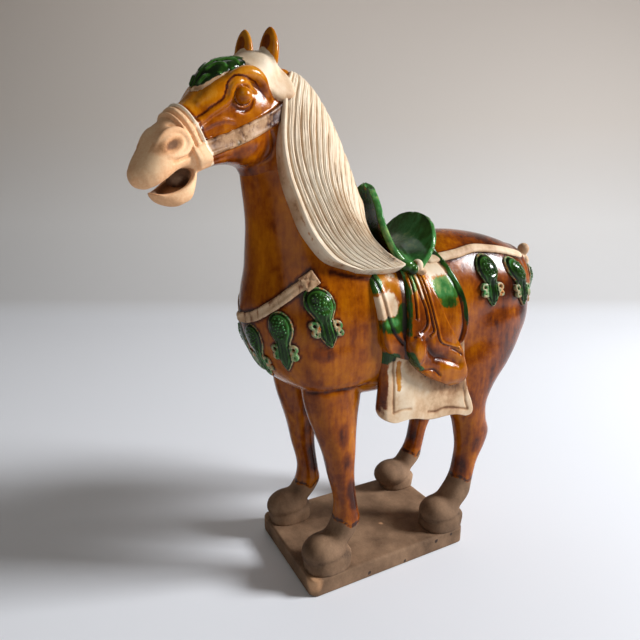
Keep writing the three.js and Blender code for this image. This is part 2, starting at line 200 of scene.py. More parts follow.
def rope(path, radii, count=20):
    """A round roll of clay along a smooth path, with a radius at each of its points."""
    radii = np.broadcast_to(np.asarray(radii, float), (len(path),))
    track = through_points(np.column_stack([np.array(path, float), radii]), count)
    ends, thick = track[:, :3], track[:, 3]

    def distance(points):
        nearest = np.full(len(points), 1e3)
        for a, b, ra, rb in zip(ends[:-1], ends[1:], thick[:-1], thick[1:]):
            run = b - a
            share = np.clip((points - a) @ run / (run @ run), 0, 1)
            away = np.linalg.norm(points - a - share[:, None] * run, axis=1)
            np.minimum(nearest, away - ra - share * (rb - ra), out=nearest)
        return nearest

    pad = thick.max()
    return Form(distance, ends.min(0) - pad, ends.max(0) + pad)


WORLD_AXES = np.eye(3)


def ball(centre, half, turn=WORLD_AXES):
    """A ball squeezed to three half sizes along the rows of turn."""
    centre, half = np.array(centre, float), np.array(half, float)

    def distance(points):
        offset = (points - centre) @ turn.T / half
        near = np.maximum(np.linalg.norm(offset, axis=1), 1e-3)
        return near * (near - 1) / np.maximum(np.linalg.norm(offset / half, axis=1), 1e-4)

    pad = np.abs(turn.T * half).sum(1)
    return Form(distance, centre - pad, centre + pad)


def raised(base, profile, outline, edge=0.6, sunk=3.0):
    """A band on another form, where it lies within an outline's form.

    profile gives its height from the distance to the outline, which is below zero inside."""
    def distance(points):
        within, above = outline.distance(points), base.distance(points)
        band = -soft_minimum(profile(within) - above, -within, edge)
        return np.maximum(band, -sunk - above)

    return Form(distance, outline.low, outline.high)


def even(height):
    return lambda within: height


def bell(away, width):
    """One at nothing, falling smoothly over a width."""
    return np.exp(-((away / width) ** 2))


def rimmed(height, rim, width):
    """A height with a rounded rim of a width along the border."""
    return lambda within: height + rim * bell(within + width * 0.6, width * 0.5)


def soft_minimum(a, b, fillet):
    share = np.clip(0.5 + 0.5 * (b - a) / fillet, 0, 1)
    return b + (a - b) * share - fillet * share * (1 - share)


ten_mm_ball = ball((0, 0, 0), (10, 10, 10))
print("12 mm from the middle of a 10 mm ball:", ten_mm_ball.distance(np.array([[12, 0, 0]])))


# %% A lump of clay that forms are added to and cut from
class Clay:
    """Forms in the order that they were added or cut, each with its fillet."""

    FAR = 60.0

    def __init__(self, steps=()):
        self.steps = list(steps)

    def add(self, form, fillet=1.0):
        self.steps.append((form, fillet, 1))
        return self

    def cut(self, form, fillet=1.0):
        self.steps.append((form, fillet, -1))
        return self

    def copy(self):
        return Clay(self.steps)

    def distance(self, points, reach=9.0):
        """The distance to the skin, which is right within about a reach of it."""
        found = np.full(len(points), self.FAR)
        for form, fillet, sign in self.steps:
            near = form.near(points, reach + fillet)
            if near.any():
                other = form.distance(points[near])
                found[near] = sign * soft_minimum(sign * found[near], other, fillet)
        return found


# %% The skin of a field, found on a grid of cells
# Cells along each side of a block. A block far from the surface gets one distance for all
BLOCK = 6


def skin_of(field, low, high, cell):
    """Corner points and four-sided faces of the surface where a field is zero."""
    low = np.array(low, float) - 2 * cell
    blocks = np.ceil((np.array(high, float) + 2 * cell - low) / (cell * BLOCK)).astype(int)
    size = cell * BLOCK
    index = np.stack(np.meshgrid(*map(np.arange, blocks), indexing="ij"), -1).reshape(-1, 3)
    half_diagonal = size * math.sqrt(3) / 2
    rough = field(low + (index + 0.5) * size, reach=1.8 * half_diagonal)
    grid = np.broadcast_to(
        rough.reshape(*blocks, 1, 1, 1), (*blocks, BLOCK, BLOCK, BLOCK)).astype(np.float32)
    near = np.abs(rough) < 1.7 * half_diagonal
    inner = np.stack(np.meshgrid(*[np.arange(BLOCK)] * 3, indexing="ij"), -1).reshape(-1, 3)
    samples = (index[near][:, None] * BLOCK + inner[None]).reshape(-1, 3)
    values = field(low + samples * cell)
    grid = grid.transpose(0, 3, 1, 4, 2, 5).reshape(*(blocks * BLOCK)).copy()
    grid[tuple(samples.T)] = values
    return nets(grid, low, cell)


def nets(grid, low, cell):
    """One point in each cell that the surface crosses, and a face across each crossed edge."""
    inside = grid < 0
    corners = [(i, j, k) for i in (0, 1) for j in (0, 1) for k in (0, 1)]
    shape = np.array(grid.shape) - 1
    count = sum(
        inside[i:shape[0] + i, j:shape[1] + j, k:shape[2] + k].astype(np.int8)
        for i, j, k in corners)
    cells = np.argwhere((count > 0) & (count < 8))
    number = np.full(shape, -1)
    number[tuple(cells.T)] = np.arange(len(cells))
    total, crossings = np.zeros((len(cells), 3)), np.zeros(len(cells))
    for a in corners:
        for axis in range(3):
            if a[axis]:
                continue
            b = tuple(int(v) + (n == axis) for n, v in enumerate(a))
            va, vb = grid[tuple((cells + a).T)], grid[tuple((cells + b).T)]
            cross = (va < 0) != (vb < 0)
            share = np.where(cross, va / np.where(cross, va - vb, 1), 0)
            place = np.array(a, float) + np.outer(share, np.array(b) - a)
            total += place * cross[:, None]
            crossings += cross
    points = low + (cells + total / crossings[:, None]) * cell
    faces = []
    for axis in range(3):
        one, two = (axis + 1) % 3, (axis + 2) % 3
        head = np.take(inside, range(0, grid.shape[axis] - 1), axis)
        tail = np.take(inside, range(1, grid.shape[axis]), axis)
        for outward in (True, False):
            edges = np.argwhere((head & ~tail) if outward else (~head & tail))
            keep = (edges[:, one] > 0) & (edges[:, two] > 0)
            keep &= (edges[:, one] < shape[one]) & (edges[:, two] < shape[two])
            edges = edges[keep]
            ring = []
            for d_one, d_two in ((-1, -1), (0, -1), (0, 0), (-1, 0)):
                step = np.zeros(3, int)
                step[one], step[two] = d_one, d_two
                ring.append(number[tuple((edges + step).T)])
            quad = np.stack(ring, 1)
            faces.append(quad if outward else quad[:, ::-1])
    return points, np.concatenate(faces)


TETRAHEDRON = np.array([(1, -1, -1), (-1, -1, 1), (-1, 1, -1), (1, 1, 1)], float)


def settle(points, field, cell, rounds=2):
    """Moves points on to the surface. Returns them and the outward direction at each."""
    for _ in range(rounds):
        samples = [field(points + step * cell * 0.25) for step in TETRAHEDRON]
        slope = sum(np.outer(v, step) for v, step in zip(samples, TETRAHEDRON)) / cell
        squared = np.maximum((slope**2).sum(1), 0.05)
        move = (sum(samples) / 4 / squared)[:, None] * slope
        length = np.linalg.norm(move, axis=1, keepdims=True)
        points = points - move * np.minimum(1, 0.6 * cell / np.maximum(length, 1e-9))
    return points, slope / np.linalg.norm(slope, axis=1, keepdims=True)


# %% [markdown]
# ## From points to a piece
# Every piece gets its points in the scene's own place, so its object stays at the origin. Two
# colour attributes travel with it: `glaze` says how much green, cream or bare clay there is,
# and the other says where the glaze pooled dark, ran thin or was burnt, and where shade,
# shadow and highlights are painted.

# %% Make a mesh piece
def new_mesh(name, points, faces, material):
    """A smooth closed mesh in scene metres, facing outwards."""
    places = to_scene(points)
    faces = np.asarray(faces)
    first, second, third = (places[faces[:, k]] for k in range(3))
    volume = np.einsum("ij,ij->", first, np.cross(second, third))
    if faces.shape[1] == 4:
        volume += np.einsum("ij,ij->", first, np.cross(third, places[faces[:, 3]]))
    if volume < 0:
        faces = faces[:, ::-1]
    mesh = bpy.data.meshes.new(name)
    mesh.vertices.add(len(places))
    mesh.vertices.foreach_set("co", places.astype(np.float32).ravel())
    mesh.loops.add(faces.size)
    mesh.loops.foreach_set("vertex_index", faces.astype(np.int32).ravel())
    mesh.polygons.add(len(faces))
    mesh.polygons.foreach_set("loop_start", np.arange(0, faces.size, faces.shape[1]))
    mesh.update(calc_edges=True)
    mesh.polygons.foreach_set("use_smooth", np.ones(len(faces), bool))
    mesh.materials.append(material)
    return mesh


def add_values(mesh, name, values):
    """One number at each point of a mesh."""
    mesh.attributes.new(name, "FLOAT", "POINT").data.foreach_set(
        "value", np.asarray(values, np.float32).ravel())


def brush_on(mesh, paint):
    """The glaze colours, and those of glaze flow and painted light, from two arrays of three
    numbers a point.
    """
    for layer, values in zip(("glaze", "flow_and_painted_light"), paint):
        colours = np.ones((len(mesh.vertices), 4), np.float32)
        colours[:, :3] = np.clip(values, 0, 1)
        attribute = mesh.attributes.new(layer, "FLOAT_COLOR", "POINT")
        attribute.data.foreach_set("color", colours.ravel())


def new_piece(name, mesh):
    """An object at the origin that rides with the horse."""
    piece = bpy.data.objects.new(name, mesh)
    bpy.context.scene.collection.objects.link(piece)
    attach(piece, "root")
    print(name, "points", len(mesh.vertices), "faces", len(mesh.polygons))
    return piece


def make_piece(name, points, faces, material, paint):
    mesh = new_mesh(name, points, faces, material)
    brush_on(mesh, paint)
    return new_piece(name, mesh)


# How fine the skin of each lump of clay is, in millimetres
CELLS = {"horse_body": 1.9, "horse_head": 0.95, "cover_knots": 0.9, "straps": 1.0,
         "pendants": 0.9, "tail_knot": 1.0, "plinth": 1.6}


def clay_piece(name, clay, material, painter):
    """The skin of a lump of clay as a piece, painted by its places and directions."""
    added = [form for form, _, sign in clay.steps if sign > 0]
    low = np.min([form.low for form in added], 0)
    high = np.max([form.high for form in added], 0)
    points, faces = skin_of(clay.distance, low, high, CELLS[name])
    points, out = settle(points, clay.distance, CELLS[name])
    return make_piece(name, points, faces, material, painter(points, out))


# %% [markdown]
# ## Lead glaze over earthenware
# The glazes are lead-fluxed: clear where nothing was added, amber with iron, green with
# copper. They melt at about 800 degrees and run, so every colour has pale thin places and
# dark pooled ones in vertical streaks, and its edges are ragged. Where no glaze was brushed
# the body shows as matt pinkish buff clay with small holes.

# %% Colours, nodes and sums on sockets
def linear(code, alpha=1.0):
    """A display hex colour as the linear values that a shader works with."""
    parts = [int(code[i:i + 2], 16) / 255 for i in (1, 3, 5)]
    return (*(c / 12.92 if c <= 0.04045 else ((c + 0.055) / 1.055) ** 2.4 for c in parts), alpha)


def add_node(tree, kind, inputs=None, **settings):
    """Adds a node with its settings. Each input is set, or linked where a socket is given."""
    node = tree.nodes.new(kind)
    for name, value in settings.items():
        setattr(node, name, value)
    for name, value in (inputs or {}).items():
        value = value.socket if isinstance(value, Mask) else value
        if isinstance(value, bpy.types.NodeSocket):
            tree.links.new(value, node.inputs[name])
        else:
            node.inputs[name].default_value = value
    return node


class Mask:
    """A socket that sums are written with. Each sum puts one node in its tree."""

    def __init__(self, socket):
        self.socket = socket

    def math(self, operation, other=0.5):
        return Mask(add_node(self.socket.id_data, "ShaderNodeMath", {0: self, 1: other},
                             operation=operation).outputs[0])

    def __add__(self, other):
        return self.math("ADD", other)

    def __sub__(self, other):
        return self.math("SUBTRACT", other)

    def __mul__(self, other):
        return self.math("MULTIPLY", other)

    def __truediv__(self, other):
        return self.math("DIVIDE", other)

    def clamped(self):
        self.socket.node.use_clamp = True
        return self


def set_stops(ramp, stops):
    """Gives a colour ramp its stops, pairs of place and hex colour. Returns its colour."""
    elements = ramp.color_ramp.elements
    while len(elements) < len(stops):
        elements.new(0.5)
    for element, (place, colour) in zip(elements, stops):
        element.position = place
        element.color = linear(colour)
    return ramp.outputs["Color"]


print("mid amber, linear:", np.round(linear("#995000"), 3))

# %% The glaze's own patterns
glazed_earthenware = bpy.data.materials.new("lead_glazed_earthenware")
glazed_earthenware.use_nodes = True
glaze_tree = glazed_earthenware.node_tree
glaze_tree.nodes.clear()
on_the_horse = add_node(glaze_tree, "ShaderNodeTexCoord").outputs["Object"]


def mottle(period, stretch=(1, 1, 1), detail=4, rough=0.55, shift=0.0):
    """Noise whose lumps are about a period apart, in millimetres, longer along stretch."""
    scaled = add_node(glaze_tree, "ShaderNodeMapping", {
        "Vector": on_the_horse, "Scale": tuple(1 / (period * MM * s) for s in stretch),
        "Location": (shift, shift * 0.7, shift * 1.3)})
    noise = add_node(glaze_tree, "ShaderNodeTexNoise", {
        "Vector": scaled.outputs["Vector"], "Scale": 1.0, "Detail": detail, "Roughness": rough})
    return Mask(noise.outputs["Fac"])


# Runs are 5 mm apart and six times as long as wide, and clouds of thicker glaze 26 mm apart.
# Flecks are 5.5 mm, and the body's own sandy specks 1.6 mm.
runs = mottle(5.0, (1, 1, 6))
clouds = mottle(26.0, (1, 1, 1.6), shift=3.0)
specks = mottle(1.6, detail=6, rough=0.7, shift=7.0)
flecks = mottle(5.5, detail=5, rough=0.65, shift=11.0)
edges = flecks * 0.5 + mottle(3.2, (1, 1, 3.5), shift=5.0) * 0.5
print("patterns:", sum(node.bl_idname == "ShaderNodeTexNoise" for node in glaze_tree.nodes))


# %% What was brushed on, and how it ran
def painted(layer):
    """The three masks that a colour attribute carries."""
    colour = add_node(glaze_tree, "ShaderNodeAttribute", attribute_name=layer).outputs["Color"]
    parts = add_node(glaze_tree, "ShaderNodeSeparateColor", {"Color": colour}).outputs
    return [Mask(parts[name]) for name in ("Red", "Green", "Blue")]


green, cream, bare = painted("glaze")
# Dark is pooled glaze and painted shade, pale is thin glaze, pale clay and painted highlight, and
# the third is soot, pinholes and painted shadow
dark, pale_and_lit, soot_and_shadow = painted("flow_and_painted_light")


def ragged(mask, amount=2.2):
    """A soft mask with its edge broken by the flecks."""
    return ((mask + (edges - 0.5) * amount - 0.36) * 3.4).clamped()


def pooled_and_shaded(first, second, share):
    """Two patterns mixed, then lower where pooled glaze and painted shade are marked and higher
    where thin glaze and painted highlights are marked.
    """
    mixed = first * (1 - share) + second * share
    return (mixed - dark * 0.30 + pale_and_lit * 0.26).clamped()


depth = pooled_and_shaded(clouds, runs * 0.55 + flecks * 0.45, 0.5)
print("nodes so far:", len(glaze_tree.nodes))

# %% Fired colours, from thick and dark to thin and pale
FIRED = {
    "amber": (depth, [(0.14, "#220b05"), (0.30, "#4a1c04"), (0.41, "#7a3702"),
                      (0.50, "#995000"), (0.61, "#b46900"), (0.82, "#cf9330")]),
    "green": (depth, [(0.20, "#060d06"), (0.36, "#12240b"), (0.47, "#213f10"),
                      (0.57, "#345d20"), (0.66, "#438145"), (0.74, "#86a561"),
                      (0.84, "#c9bf86")]),
    "cream": (pooled_and_shaded(clouds, flecks, 0.3), [
        (0.16, "#6a4529"), (0.30, "#ab8460"), (0.42, "#cfae8a"), (0.52, "#dcc3a3"),
        (0.66, "#e8d5ba"), (0.85, "#f0e3cb")]),
    "clay": (pooled_and_shaded(clouds, specks, 0.25), [
        (0.26, "#4a3728"), (0.43, "#745a44"), (0.55, "#8a6d54"), (0.72, "#a38467")]),
    "pale_clay": (pooled_and_shaded(clouds, specks, 0.4), [
        (0.34, "#8e5c3a"), (0.50, "#cf9869"), (0.66, "#e6b284"), (0.84, "#f2cb9f")]),
}
# Near black: soot, pinholes and the dark line where glaze ends on the legs, and painted shadow in
# gaps and hollows
SOOT_AND_SHADOW = linear("#231a1c")
fired = {name: set_stops(add_node(glaze_tree, "ShaderNodeValToRGB", {"Fac": thickness}), stops)
         for name, (thickness, stops) in FIRED.items()}
print("fired colours:", *fired)

# %% Layers, gloss and relief of the glazed pottery
unglazed = ragged(bare, 1.3)
bare_clay = add_node(glaze_tree, "ShaderNodeMix", {
    0: pale_and_lit, 6: fired["clay"], 7: fired["pale_clay"]}, data_type="RGBA").outputs[2]
colour = fired["amber"]
for share, coat in ((ragged(cream), fired["cream"]), (ragged(green), fired["green"]),
                    (unglazed, bare_clay), (ragged(soot_and_shadow) * 0.85, SOOT_AND_SHADOW)):
    colour = add_node(glaze_tree, "ShaderNodeMix", {0: share, 6: colour, 7: coat},
                      data_type="RGBA").outputs[2]

# Glaze is glassy, cream glaze less so, and bare clay is matt
gloss = flecks * 0.18 + 0.09 - green * 0.08 + cream * 0.4
roughness = add_node(glaze_tree, "ShaderNodeMix", {0: unglazed, 2: gloss, 3: 0.8},
                     data_type="FLOAT").outputs[0]
relief = flecks * 0.7 + specks * (unglazed * 0.2 + 0.10)
bump = add_node(glaze_tree, "ShaderNodeBump", {
    "Height": relief, "Strength": 0.35, "Distance": 0.0007})
shader = add_node(glaze_tree, "ShaderNodeBsdfPrincipled", {
    "Base Color": colour, "Roughness": roughness, "Normal": bump.outputs["Normal"],
    "IOR": 1.5, "Specular IOR Level": 0.26})
add_node(glaze_tree, "ShaderNodeOutputMaterial", {"Surface": shader.outputs["BSDF"]})
print(glazed_earthenware.name, "nodes", len(glaze_tree.nodes))

# %% [markdown]
# ## Trunk, neck and legs
# Trunk, neck and each leg were pressed in two-part moulds and luted together, so they meet in
# soft fillets. Each is a loft of rounded sections, measured from the photograph, and the
# fillets are wide at the neck and shoulders and tight at the hooves.

# %% Section tables of the body
TRUNK = [
    (-118.5, 221, 228, 1, 0, 2.0), (-117, 212, 236, 6, 0, 2.1), (-112, 198, 250, 22, 0, 2.1),
    (-100, 176, 262, 38, 0, 2.2), (-82, 160, 270, 48, 0, 2.4), (-50, 149, 274, 52, 0, 2.7),
    (30, 148, 273, 53, 0, 2.7), (70, 155, 285.5, 52, 0, 2.3), (105, 166, 284.5, 51, 0, 2.2),
    (135, 174, 279, 50, 0, 2.2), (158, 184, 272, 43, 0, 2.1), (174, 198, 265, 30, 0, 2.1),
    (183, 216, 248, 11, 0, 2.1), (184.5, 229, 235, 1, 0, 2.0),
]
NECK = [
    (205, -104, 0, 36, 0), (230, -112, 14, 42, 0), (252, -113, 12, 43, 0),
    (272, -112, 4, 40, 0), (292, -111, -8, 34, 0), (332, -115, -26, 26, 1),
    (352, -117, -36, 23, 2), (372, -116, -47, 20.5, 3), (390, -109, -58, 17.5, 3),
    (407, -93, -75, 9, 0),
]
FORE_LEG = [
    (6, -68, -48, 12, 40), (18, -69, -43, 12.5, 39.5), (28, -60, -34, 12, 39),
    (38, -54, -29, 12, 38.5), (48, -52, -30.5, 10.5, 38), (84, -58.5, -34.5, 11, 38),
    (104, -63, -33.5, 13, 37.2), (122, -69, -31.5, 14.2, 35), (138, -74.5, -28.5, 14.4, 33),
    (150, -77.5, -26, 14.8, 32), (162, -79, -25, 14, 31), (174, -79, -25, 10, 29),
]
SHOULDER = [
    (162.5, -72, -32, 9, 31), (163.5, -77, -28, 15, 30.5), (166.5, -83, -23, 19.5, 29),
    (174, -90, -18, 22, 28), (184, -94, -15, 23, 27.5), (196, -94, -15, 21, 27),
    (208, -88, -22, 14, 26),
]
HIND_LEG = [
    (6, 52, 76, 12, 40), (17, 55, 85, 13, 40), (29, 67, 97, 13, 40), (42, 76, 101, 11, 40),
    (64, 82, 107, 10.5, 40), (79, 83, 115, 11.5, 40), (92, 81, 118, 13, 40),
    (106, 78, 114, 13.5, 39.5), (122, 71, 114, 15.5, 38), (140, 63, 124, 20, 35),
    (160, 57, 143, 24, 32), (182, 58, 160, 26, 28), (208, 70, 171, 26, 24),
    (232, 95, 162, 14, 18),
]
FORE_HOOF = [(-1, -81, -40, 17, 40), (5, -80.5, -39.5, 17.2, 40), (9.5, -78, -39.5, 16.8, 40),
             (12.4, -74, -41, 14.5, 40), (13.4, -70, -45, 10, 40)]
HIND_HOOF = [(-1, 46, 87, 17, 40), (5, 46.5, 88, 17.2, 40), (9.5, 49, 88.5, 16.8, 40),
             (12.4, 53, 87, 14.5, 40), (13.4, 57, 83, 10, 40)]
CORONETS = {1: ((40, -63.5, 14.5), (16.6, 20.5, 14)), -1: ((40, 65, 15), (16.6, 21, 14))}
TRUNK_EGG = 0.06
X, Y, Z = np.eye(3)
ORIGIN = np.zeros(3)
along_trunk = (ORIGIN, Y, Z, X)
upright = (ORIGIN, Z, Y, X)
print("sections of the trunk and the neck:", len(TRUNK), len(NECK))


# %% Forms of the body
def far_hind(table):
    """The far hind leg is slimmer below the thigh."""
    rows = []
    for z, low, high, half, side in table:
        rise = min(max((z - 110) / 60, 0), 1)
        thigh = rise * rise * (3 - 2 * rise)
        share, shift = 0.86 + 0.14 * thigh, 4 * (1 - thigh)
        middle, reach = (low + high) / 2 + shift, (high - low) / 2 * share
        rows.append((z, middle - reach, middle + reach, half * share, side))
    return rows


trunk = loft(along_trunk, TRUNK, egg=TRUNK_EGG)
neck = loft(upright, NECK, power=2.1)

# The neck goes on into the head above a seam, and each is held back past it
SEAM = 334.0
NECK_PAST_SEAM, HEAD_PAST_SEAM = 8, 6


def sinking(form, height, way, depth):
    """A form up to a height, or down to it where way is -1. Past it, it sinks slowly."""
    def distance(points):
        past = way * (points[:, 2] - height)
        return np.maximum(form.distance(points) + 0.1 * np.clip(past, 0, depth), past - depth)

    low, high = form.low.copy(), form.high.copy()
    (high if way > 0 else low)[2] = height + way * depth
    return Form(distance, low, high)


body = Clay().add(trunk).add(sinking(neck, SEAM, 1, NECK_PAST_SEAM), 12)
for side in (1, -1):
    hind = HIND_LEG if side > 0 else far_hind(HIND_LEG)
    hind_hoof = HIND_HOOF if side > 0 else far_hind(HIND_HOOF)
    body.add(loft(upright, SHOULDER, power=2.4, mirror=side), 9)
    body.add(loft(upright, FORE_LEG, mirror=side), 1.6)
    body.add(loft(upright, hind, mirror=side), 8)
    for table, (middle, half) in zip((FORE_HOOF, hind_hoof), CORONETS.values()):
        body.add(ball(np.array(middle) * [side, 1, 1], half), 3.5)
        body.add(loft(upright, table, power=2.6, mirror=side), 1.3)
print("forms in the body:", len(body.steps))

# %% Creases: down the outer side of each foreleg, and up into the shoulder
CLING_ROUNDS, CLING_STEP = 6, 2.0
LEG_CREASES = [([(50, -45, 160), (50, -44, 149), (50, -41, 134)], 1.0),
               ([(50, -51, 160), (50, -49, 151), (50, -48, 141)], 0.7),
               ([(50, -44, 168), (52, -43, 175), (52, -41, 183)], 0.8)]


def cling(points, clay, sink=0.0):
    """Moves points straight on to a clay's skin, or a little under it."""
    for _ in range(CLING_ROUNDS):
        points = settle(points, lambda p: clay.distance(p) + sink, CLING_STEP, 1)[0]
    return points


for side in (1, -1):
    for line, radius in LEG_CREASES:
        path = cling(np.array(line, float) * [side, 1, 1], body)
        body.cut(rope(path, (0.2, radius, 0.2), 20), 0.6)
print("creases cut:", 2 * len(LEG_CREASES))


# %% Paint of the body
def soft_step(values, start, end):
    share = np.clip((values - start) / (end - start), 0, 1)
    return share * share * (3 - 2 * share)


def patch(y, z, centre, half):
    """A soft oval patch of paint or clay."""
    away = np.hypot((y - centre[0]) / half[0], (z - centre[1]) / half[1])
    return soft_step(away, 1.45, 0.55)


def patches(y, z, table):
    """The sum of patches, each with its strength, its centre and its half sizes."""
    return sum(share * patch(y, z, centre, half) for share, centre, half in table)


def plain_amber(points):
    """The glaze and flow of clay that only has the amber glaze."""
    return np.zeros((len(points), 3)), np.zeros((len(points), 3))


def line_weight(y, z, path, width):
    """One on a line through places and heights, falling to nothing over its width."""
    track = through_points([(0, *p) for p in path], 24)[:, 1:]
    nearest = np.full(np.shape(y), 1e3)
    for a, b in zip(track[:-1], track[1:]):
        run = b - a
        share = np.clip(((y - a[0]) * run[0] + (z - a[1]) * run[1]) / (run @ run), 0, 1)
        nearest = np.minimum(nearest, np.hypot(y - a[0] - share * run[0],
                                               z - a[1] - share * run[1]))
    return bell(nearest, width)


def moved(path, along, up=0.0):
    """A path shifted along the horse and up."""
    return [(a + along, b + up) for a, b in path]


def line_weights(y, z, paths, width, along=0.0):
    """The sum of several lines' weights, each line shifted along the horse."""
    return sum(line_weight(y, z, moved(path, along), width) for path in paths)


# Where the glaze ends on each leg: near or far, place along the horse, height
GLAZE_ENDS = {(1, -1): (-37, 34.5), (-1, -1): (-43, 33), (1, 1): (93, 43), (-1, 1): (92, 33)}
HOOF_TOP = 25
STAINS = [(1, (-41, 70), (5, 9)), (1, (-47, 100), (4, 8)), (1, (-38, 56), (5, 6)),
          (1, (-50, 122), (5, 10)), (1, (85, 60), (6, 10)), (1, (96, 82), (5, 8)),
          (1, (78, 130), (8, 12)), (1, (-6, 168), (5, 6)), (1, (128, 232), (14, 10)),
          (1, (150, 214), (7, 16)), (1, (-70, 196), (10, 6))]
SHOULDER_LEDGE = [(-77, 161), (-60, 162), (-34, 162.5), (-26, 165)]
# Just below the mane: a dark line, partly glaze and partly painted shadow of the mane
UNDER_MANE = [(-60, 258.6), (-49, 255.5), (-38, 253), (-28, 251.3)]


def paint_body(points, out):
    x, y, z = points.T
    glaze, flow_and_painted_light = plain_amber(points)
    for (near, rear), (lowest, height) in GLAZE_ENDS.items():
        leg = (np.sign(x) == near) & (np.sign(y) == rear)
        edge = height + 0.35 * np.abs(y[leg] - lowest) + 1.2 * np.sin(y[leg] / 2.1)
        glaze[leg, 2] = soft_step(edge - z[leg], -2.5, 2.5)
        flow_and_painted_light[leg, 2] = 0.75 * bell(z[leg] - edge - 1.8, 2.2)
    glaze[z < HOOF_TOP, 2] = 1
    facing_up = out[:, 2]
    # Painted shade: darker where the hoofs face down, and where tops face up above the belly
    flow_and_painted_light[:, 0] = np.clip(
        0.12 * soft_step(z, 150, 90) * (z > 42) + 0.5 * patches(y, z, STAINS)
        + 0.8 * line_weight(y, z, UNDER_MANE, 1.6) + 0.6 * line_weight(y, z, SHOULDER_LEDGE, 1.5)
        + 0.3 * bell(z - 13.5, 1.2) + 0.3 * (z < HOOF_TOP) * (facing_up < -0.2)
        + 0.4 * soft_step(y, 66, 100) * soft_step(z, 100, 150)
        + 0.3 * soft_step(facing_up, 0.4, 0.9) * (z > 200), 0, 1)
    flow_and_painted_light[:, 1] = 0.2 * soft_step(z, 262, 285) * soft_step(z, 330, 308)
    return glaze, flow_and_painted_light


horse_body = clay_piece("horse_body", body, glazed_earthenware, paint_body)
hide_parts("tomb_horse")

# %% [markdown]
# ## The head
# The head was modelled last, with the most care: rolls of clay for the lids, brow and crest,
# a pressed socket under the bulging eye, and a rolled lip. Its grid is twice as fine as the
# body's. It takes the neck's upper part with it, so the seam lies low, under the mane.

# %% The head's own axes
HEAD_TURN, HEAD_TIP, NOSE_DROP = (math.radians(a) for a in (25, 6, 30))
POLL = np.array([0.0, -86.0, 409.0])
forward = np.array([math.sin(HEAD_TURN), -math.cos(HEAD_TURN), 0])
head_side = np.array([math.cos(HEAD_TURN) * math.cos(HEAD_TIP),
                      math.sin(HEAD_TURN) * math.cos(HEAD_TIP), -math.sin(HEAD_TIP)])
head_up = np.cross(forward, head_side)
nose_along = forward * math.cos(NOSE_DROP) - head_up * math.sin(NOSE_DROP)
nose_up = forward * math.sin(NOSE_DROP) + head_up * math.cos(NOSE_DROP)
head_axes = (POLL, nose_along, nose_up, head_side)
head_turn = np.array([nose_along, nose_up, head_side])
print("the nose points along:", np.round(nose_along, 3))


def on_head(points, side=1):
    """Places along the nose, up and to the side, as table points."""
    return POLL + (np.array(points, float) * [1, 1, side]) @ head_turn


def head_places(points):
    """Table points as places along the nose, up and to the side."""
    return (points - POLL) @ head_turn.T


# %% Section tables of the head
HEAD = [
    (0.5, -30, -8, 2, 0), (2, -38, -2, 9, 0), (14, -47, 6, 17, 0), (30, -50, 13, 21.5, 0),
    (46, -49, 18, 22.5, 0), (60, -43, 19, 20.5, 0), (75, -36, 15.5, 17.5, 0),
    (90, -29, 11.5, 14.5, 0), (104, -25, 9.3, 14, 0), (114, -22, 7, 15, 0),
    (124, -21.5, 3, 16, 0), (134, -22, -2.2, 15.5, 0), (141, -22, -6, 12.5, 0),
    (146.5, -20, -9.6, 7, 0), (149, -16, -13, 1, 0),
]
THROAT = [(50, -52, -30, 14, 0), (66, -44, -28, 14, 0), (78, -35.5, -26, 13, 0),
          (92, -30, -24, 12.5, 0), (104, -28, -22, 11.5, 0), (110, -28.5, -22, 9, 0)]
LOWER_LIP = [(105, -27, -20, 8, 0), (110, -33, -19, 12.4, 0), (115.5, -39, -20, 14.2, 0),
             (121, -42.5, -24, 15, 0), (126, -42.3, -26, 14.4, 0), (131, -41.5, -26.5, 12.8, 0),
             (135.5, -38.5, -25.5, 10, 0), (139, -34, -24, 6.5, 0), (141, -29, -25, 2, 0)]
FOREHEAD_BOSS = [(29, 8, 12, 4, 0), (33, 9, 17, 9, 0), (42, 10, 21.5, 12, 0),
                 (52, 11, 23.2, 12.6, 0), (62, 11, 23, 11.6, 0), (71, 10, 20, 9, 0),
                 (78, 9, 16, 5.5, 0), (81, 9, 12.5, 2, 0)]
EAR = [(-6, -4.5, 5, 7, 0), (2, -4.8, 5, 8.6, 0), (9, -4.4, 4.2, 8.6, 0), (15, -3.4, 3.2, 7.2, 0),
       (19, -2.4, 2.2, 5.2, 0), (21.5, -1.6, 1.2, 3.0, 0), (23, -0.6, 0.2, 0.8, 0)]
NOSEBAND_AT, NOSEBAND_HALF, RIDGE_PITCH = 101.3, 5.8, 4.1
print("sections of the head:", len(HEAD), "and of an ear:", len(EAR))


# %% Skull, jaw and mouth
def head_ball(place, half, side=1):
    """A ball by its place on the head and its half sizes along, up and across."""
    return ball(on_head([place], side)[0], half, head_turn)


# Each ball: its place, its half sizes and its fillet
JAW_AND_TEMPLE = [((60, -28, 11), (18, 16.5, 11.5), 3), ((60, 5, 10), (22, 10, 8), 5)]
OPEN_MOUTH = [((124.5, -25.5, 0), (15.5, 5.4, 30), 2.2), ((123, -29.5, 0), (12.5, 8.5, 10.3), 1.5)]
skull = loft(head_axes, HEAD, power=2.3, egg=0.12)
head = Clay().add(sinking(neck, SEAM, -1, HEAD_PAST_SEAM))
head.add(skull, 7).add(loft(head_axes, THROAT), 14)
for side in (1, -1):
    for place, half, fillet in JAW_AND_TEMPLE:
        head.add(head_ball(place, half, side), fillet)
head.add(loft(head_axes, LOWER_LIP, power=2.4), 2)
for place, half, fillet in OPEN_MOUTH:
    head.cut(head_ball(place, half), fillet)
tongue = head_ball((112, -27, 0), (14, 8, 5.5))
head.add(tongue, 2)
bare_skull = head.copy()
print("the bare skull, mm:", skull.low.round(), skull.high.round())

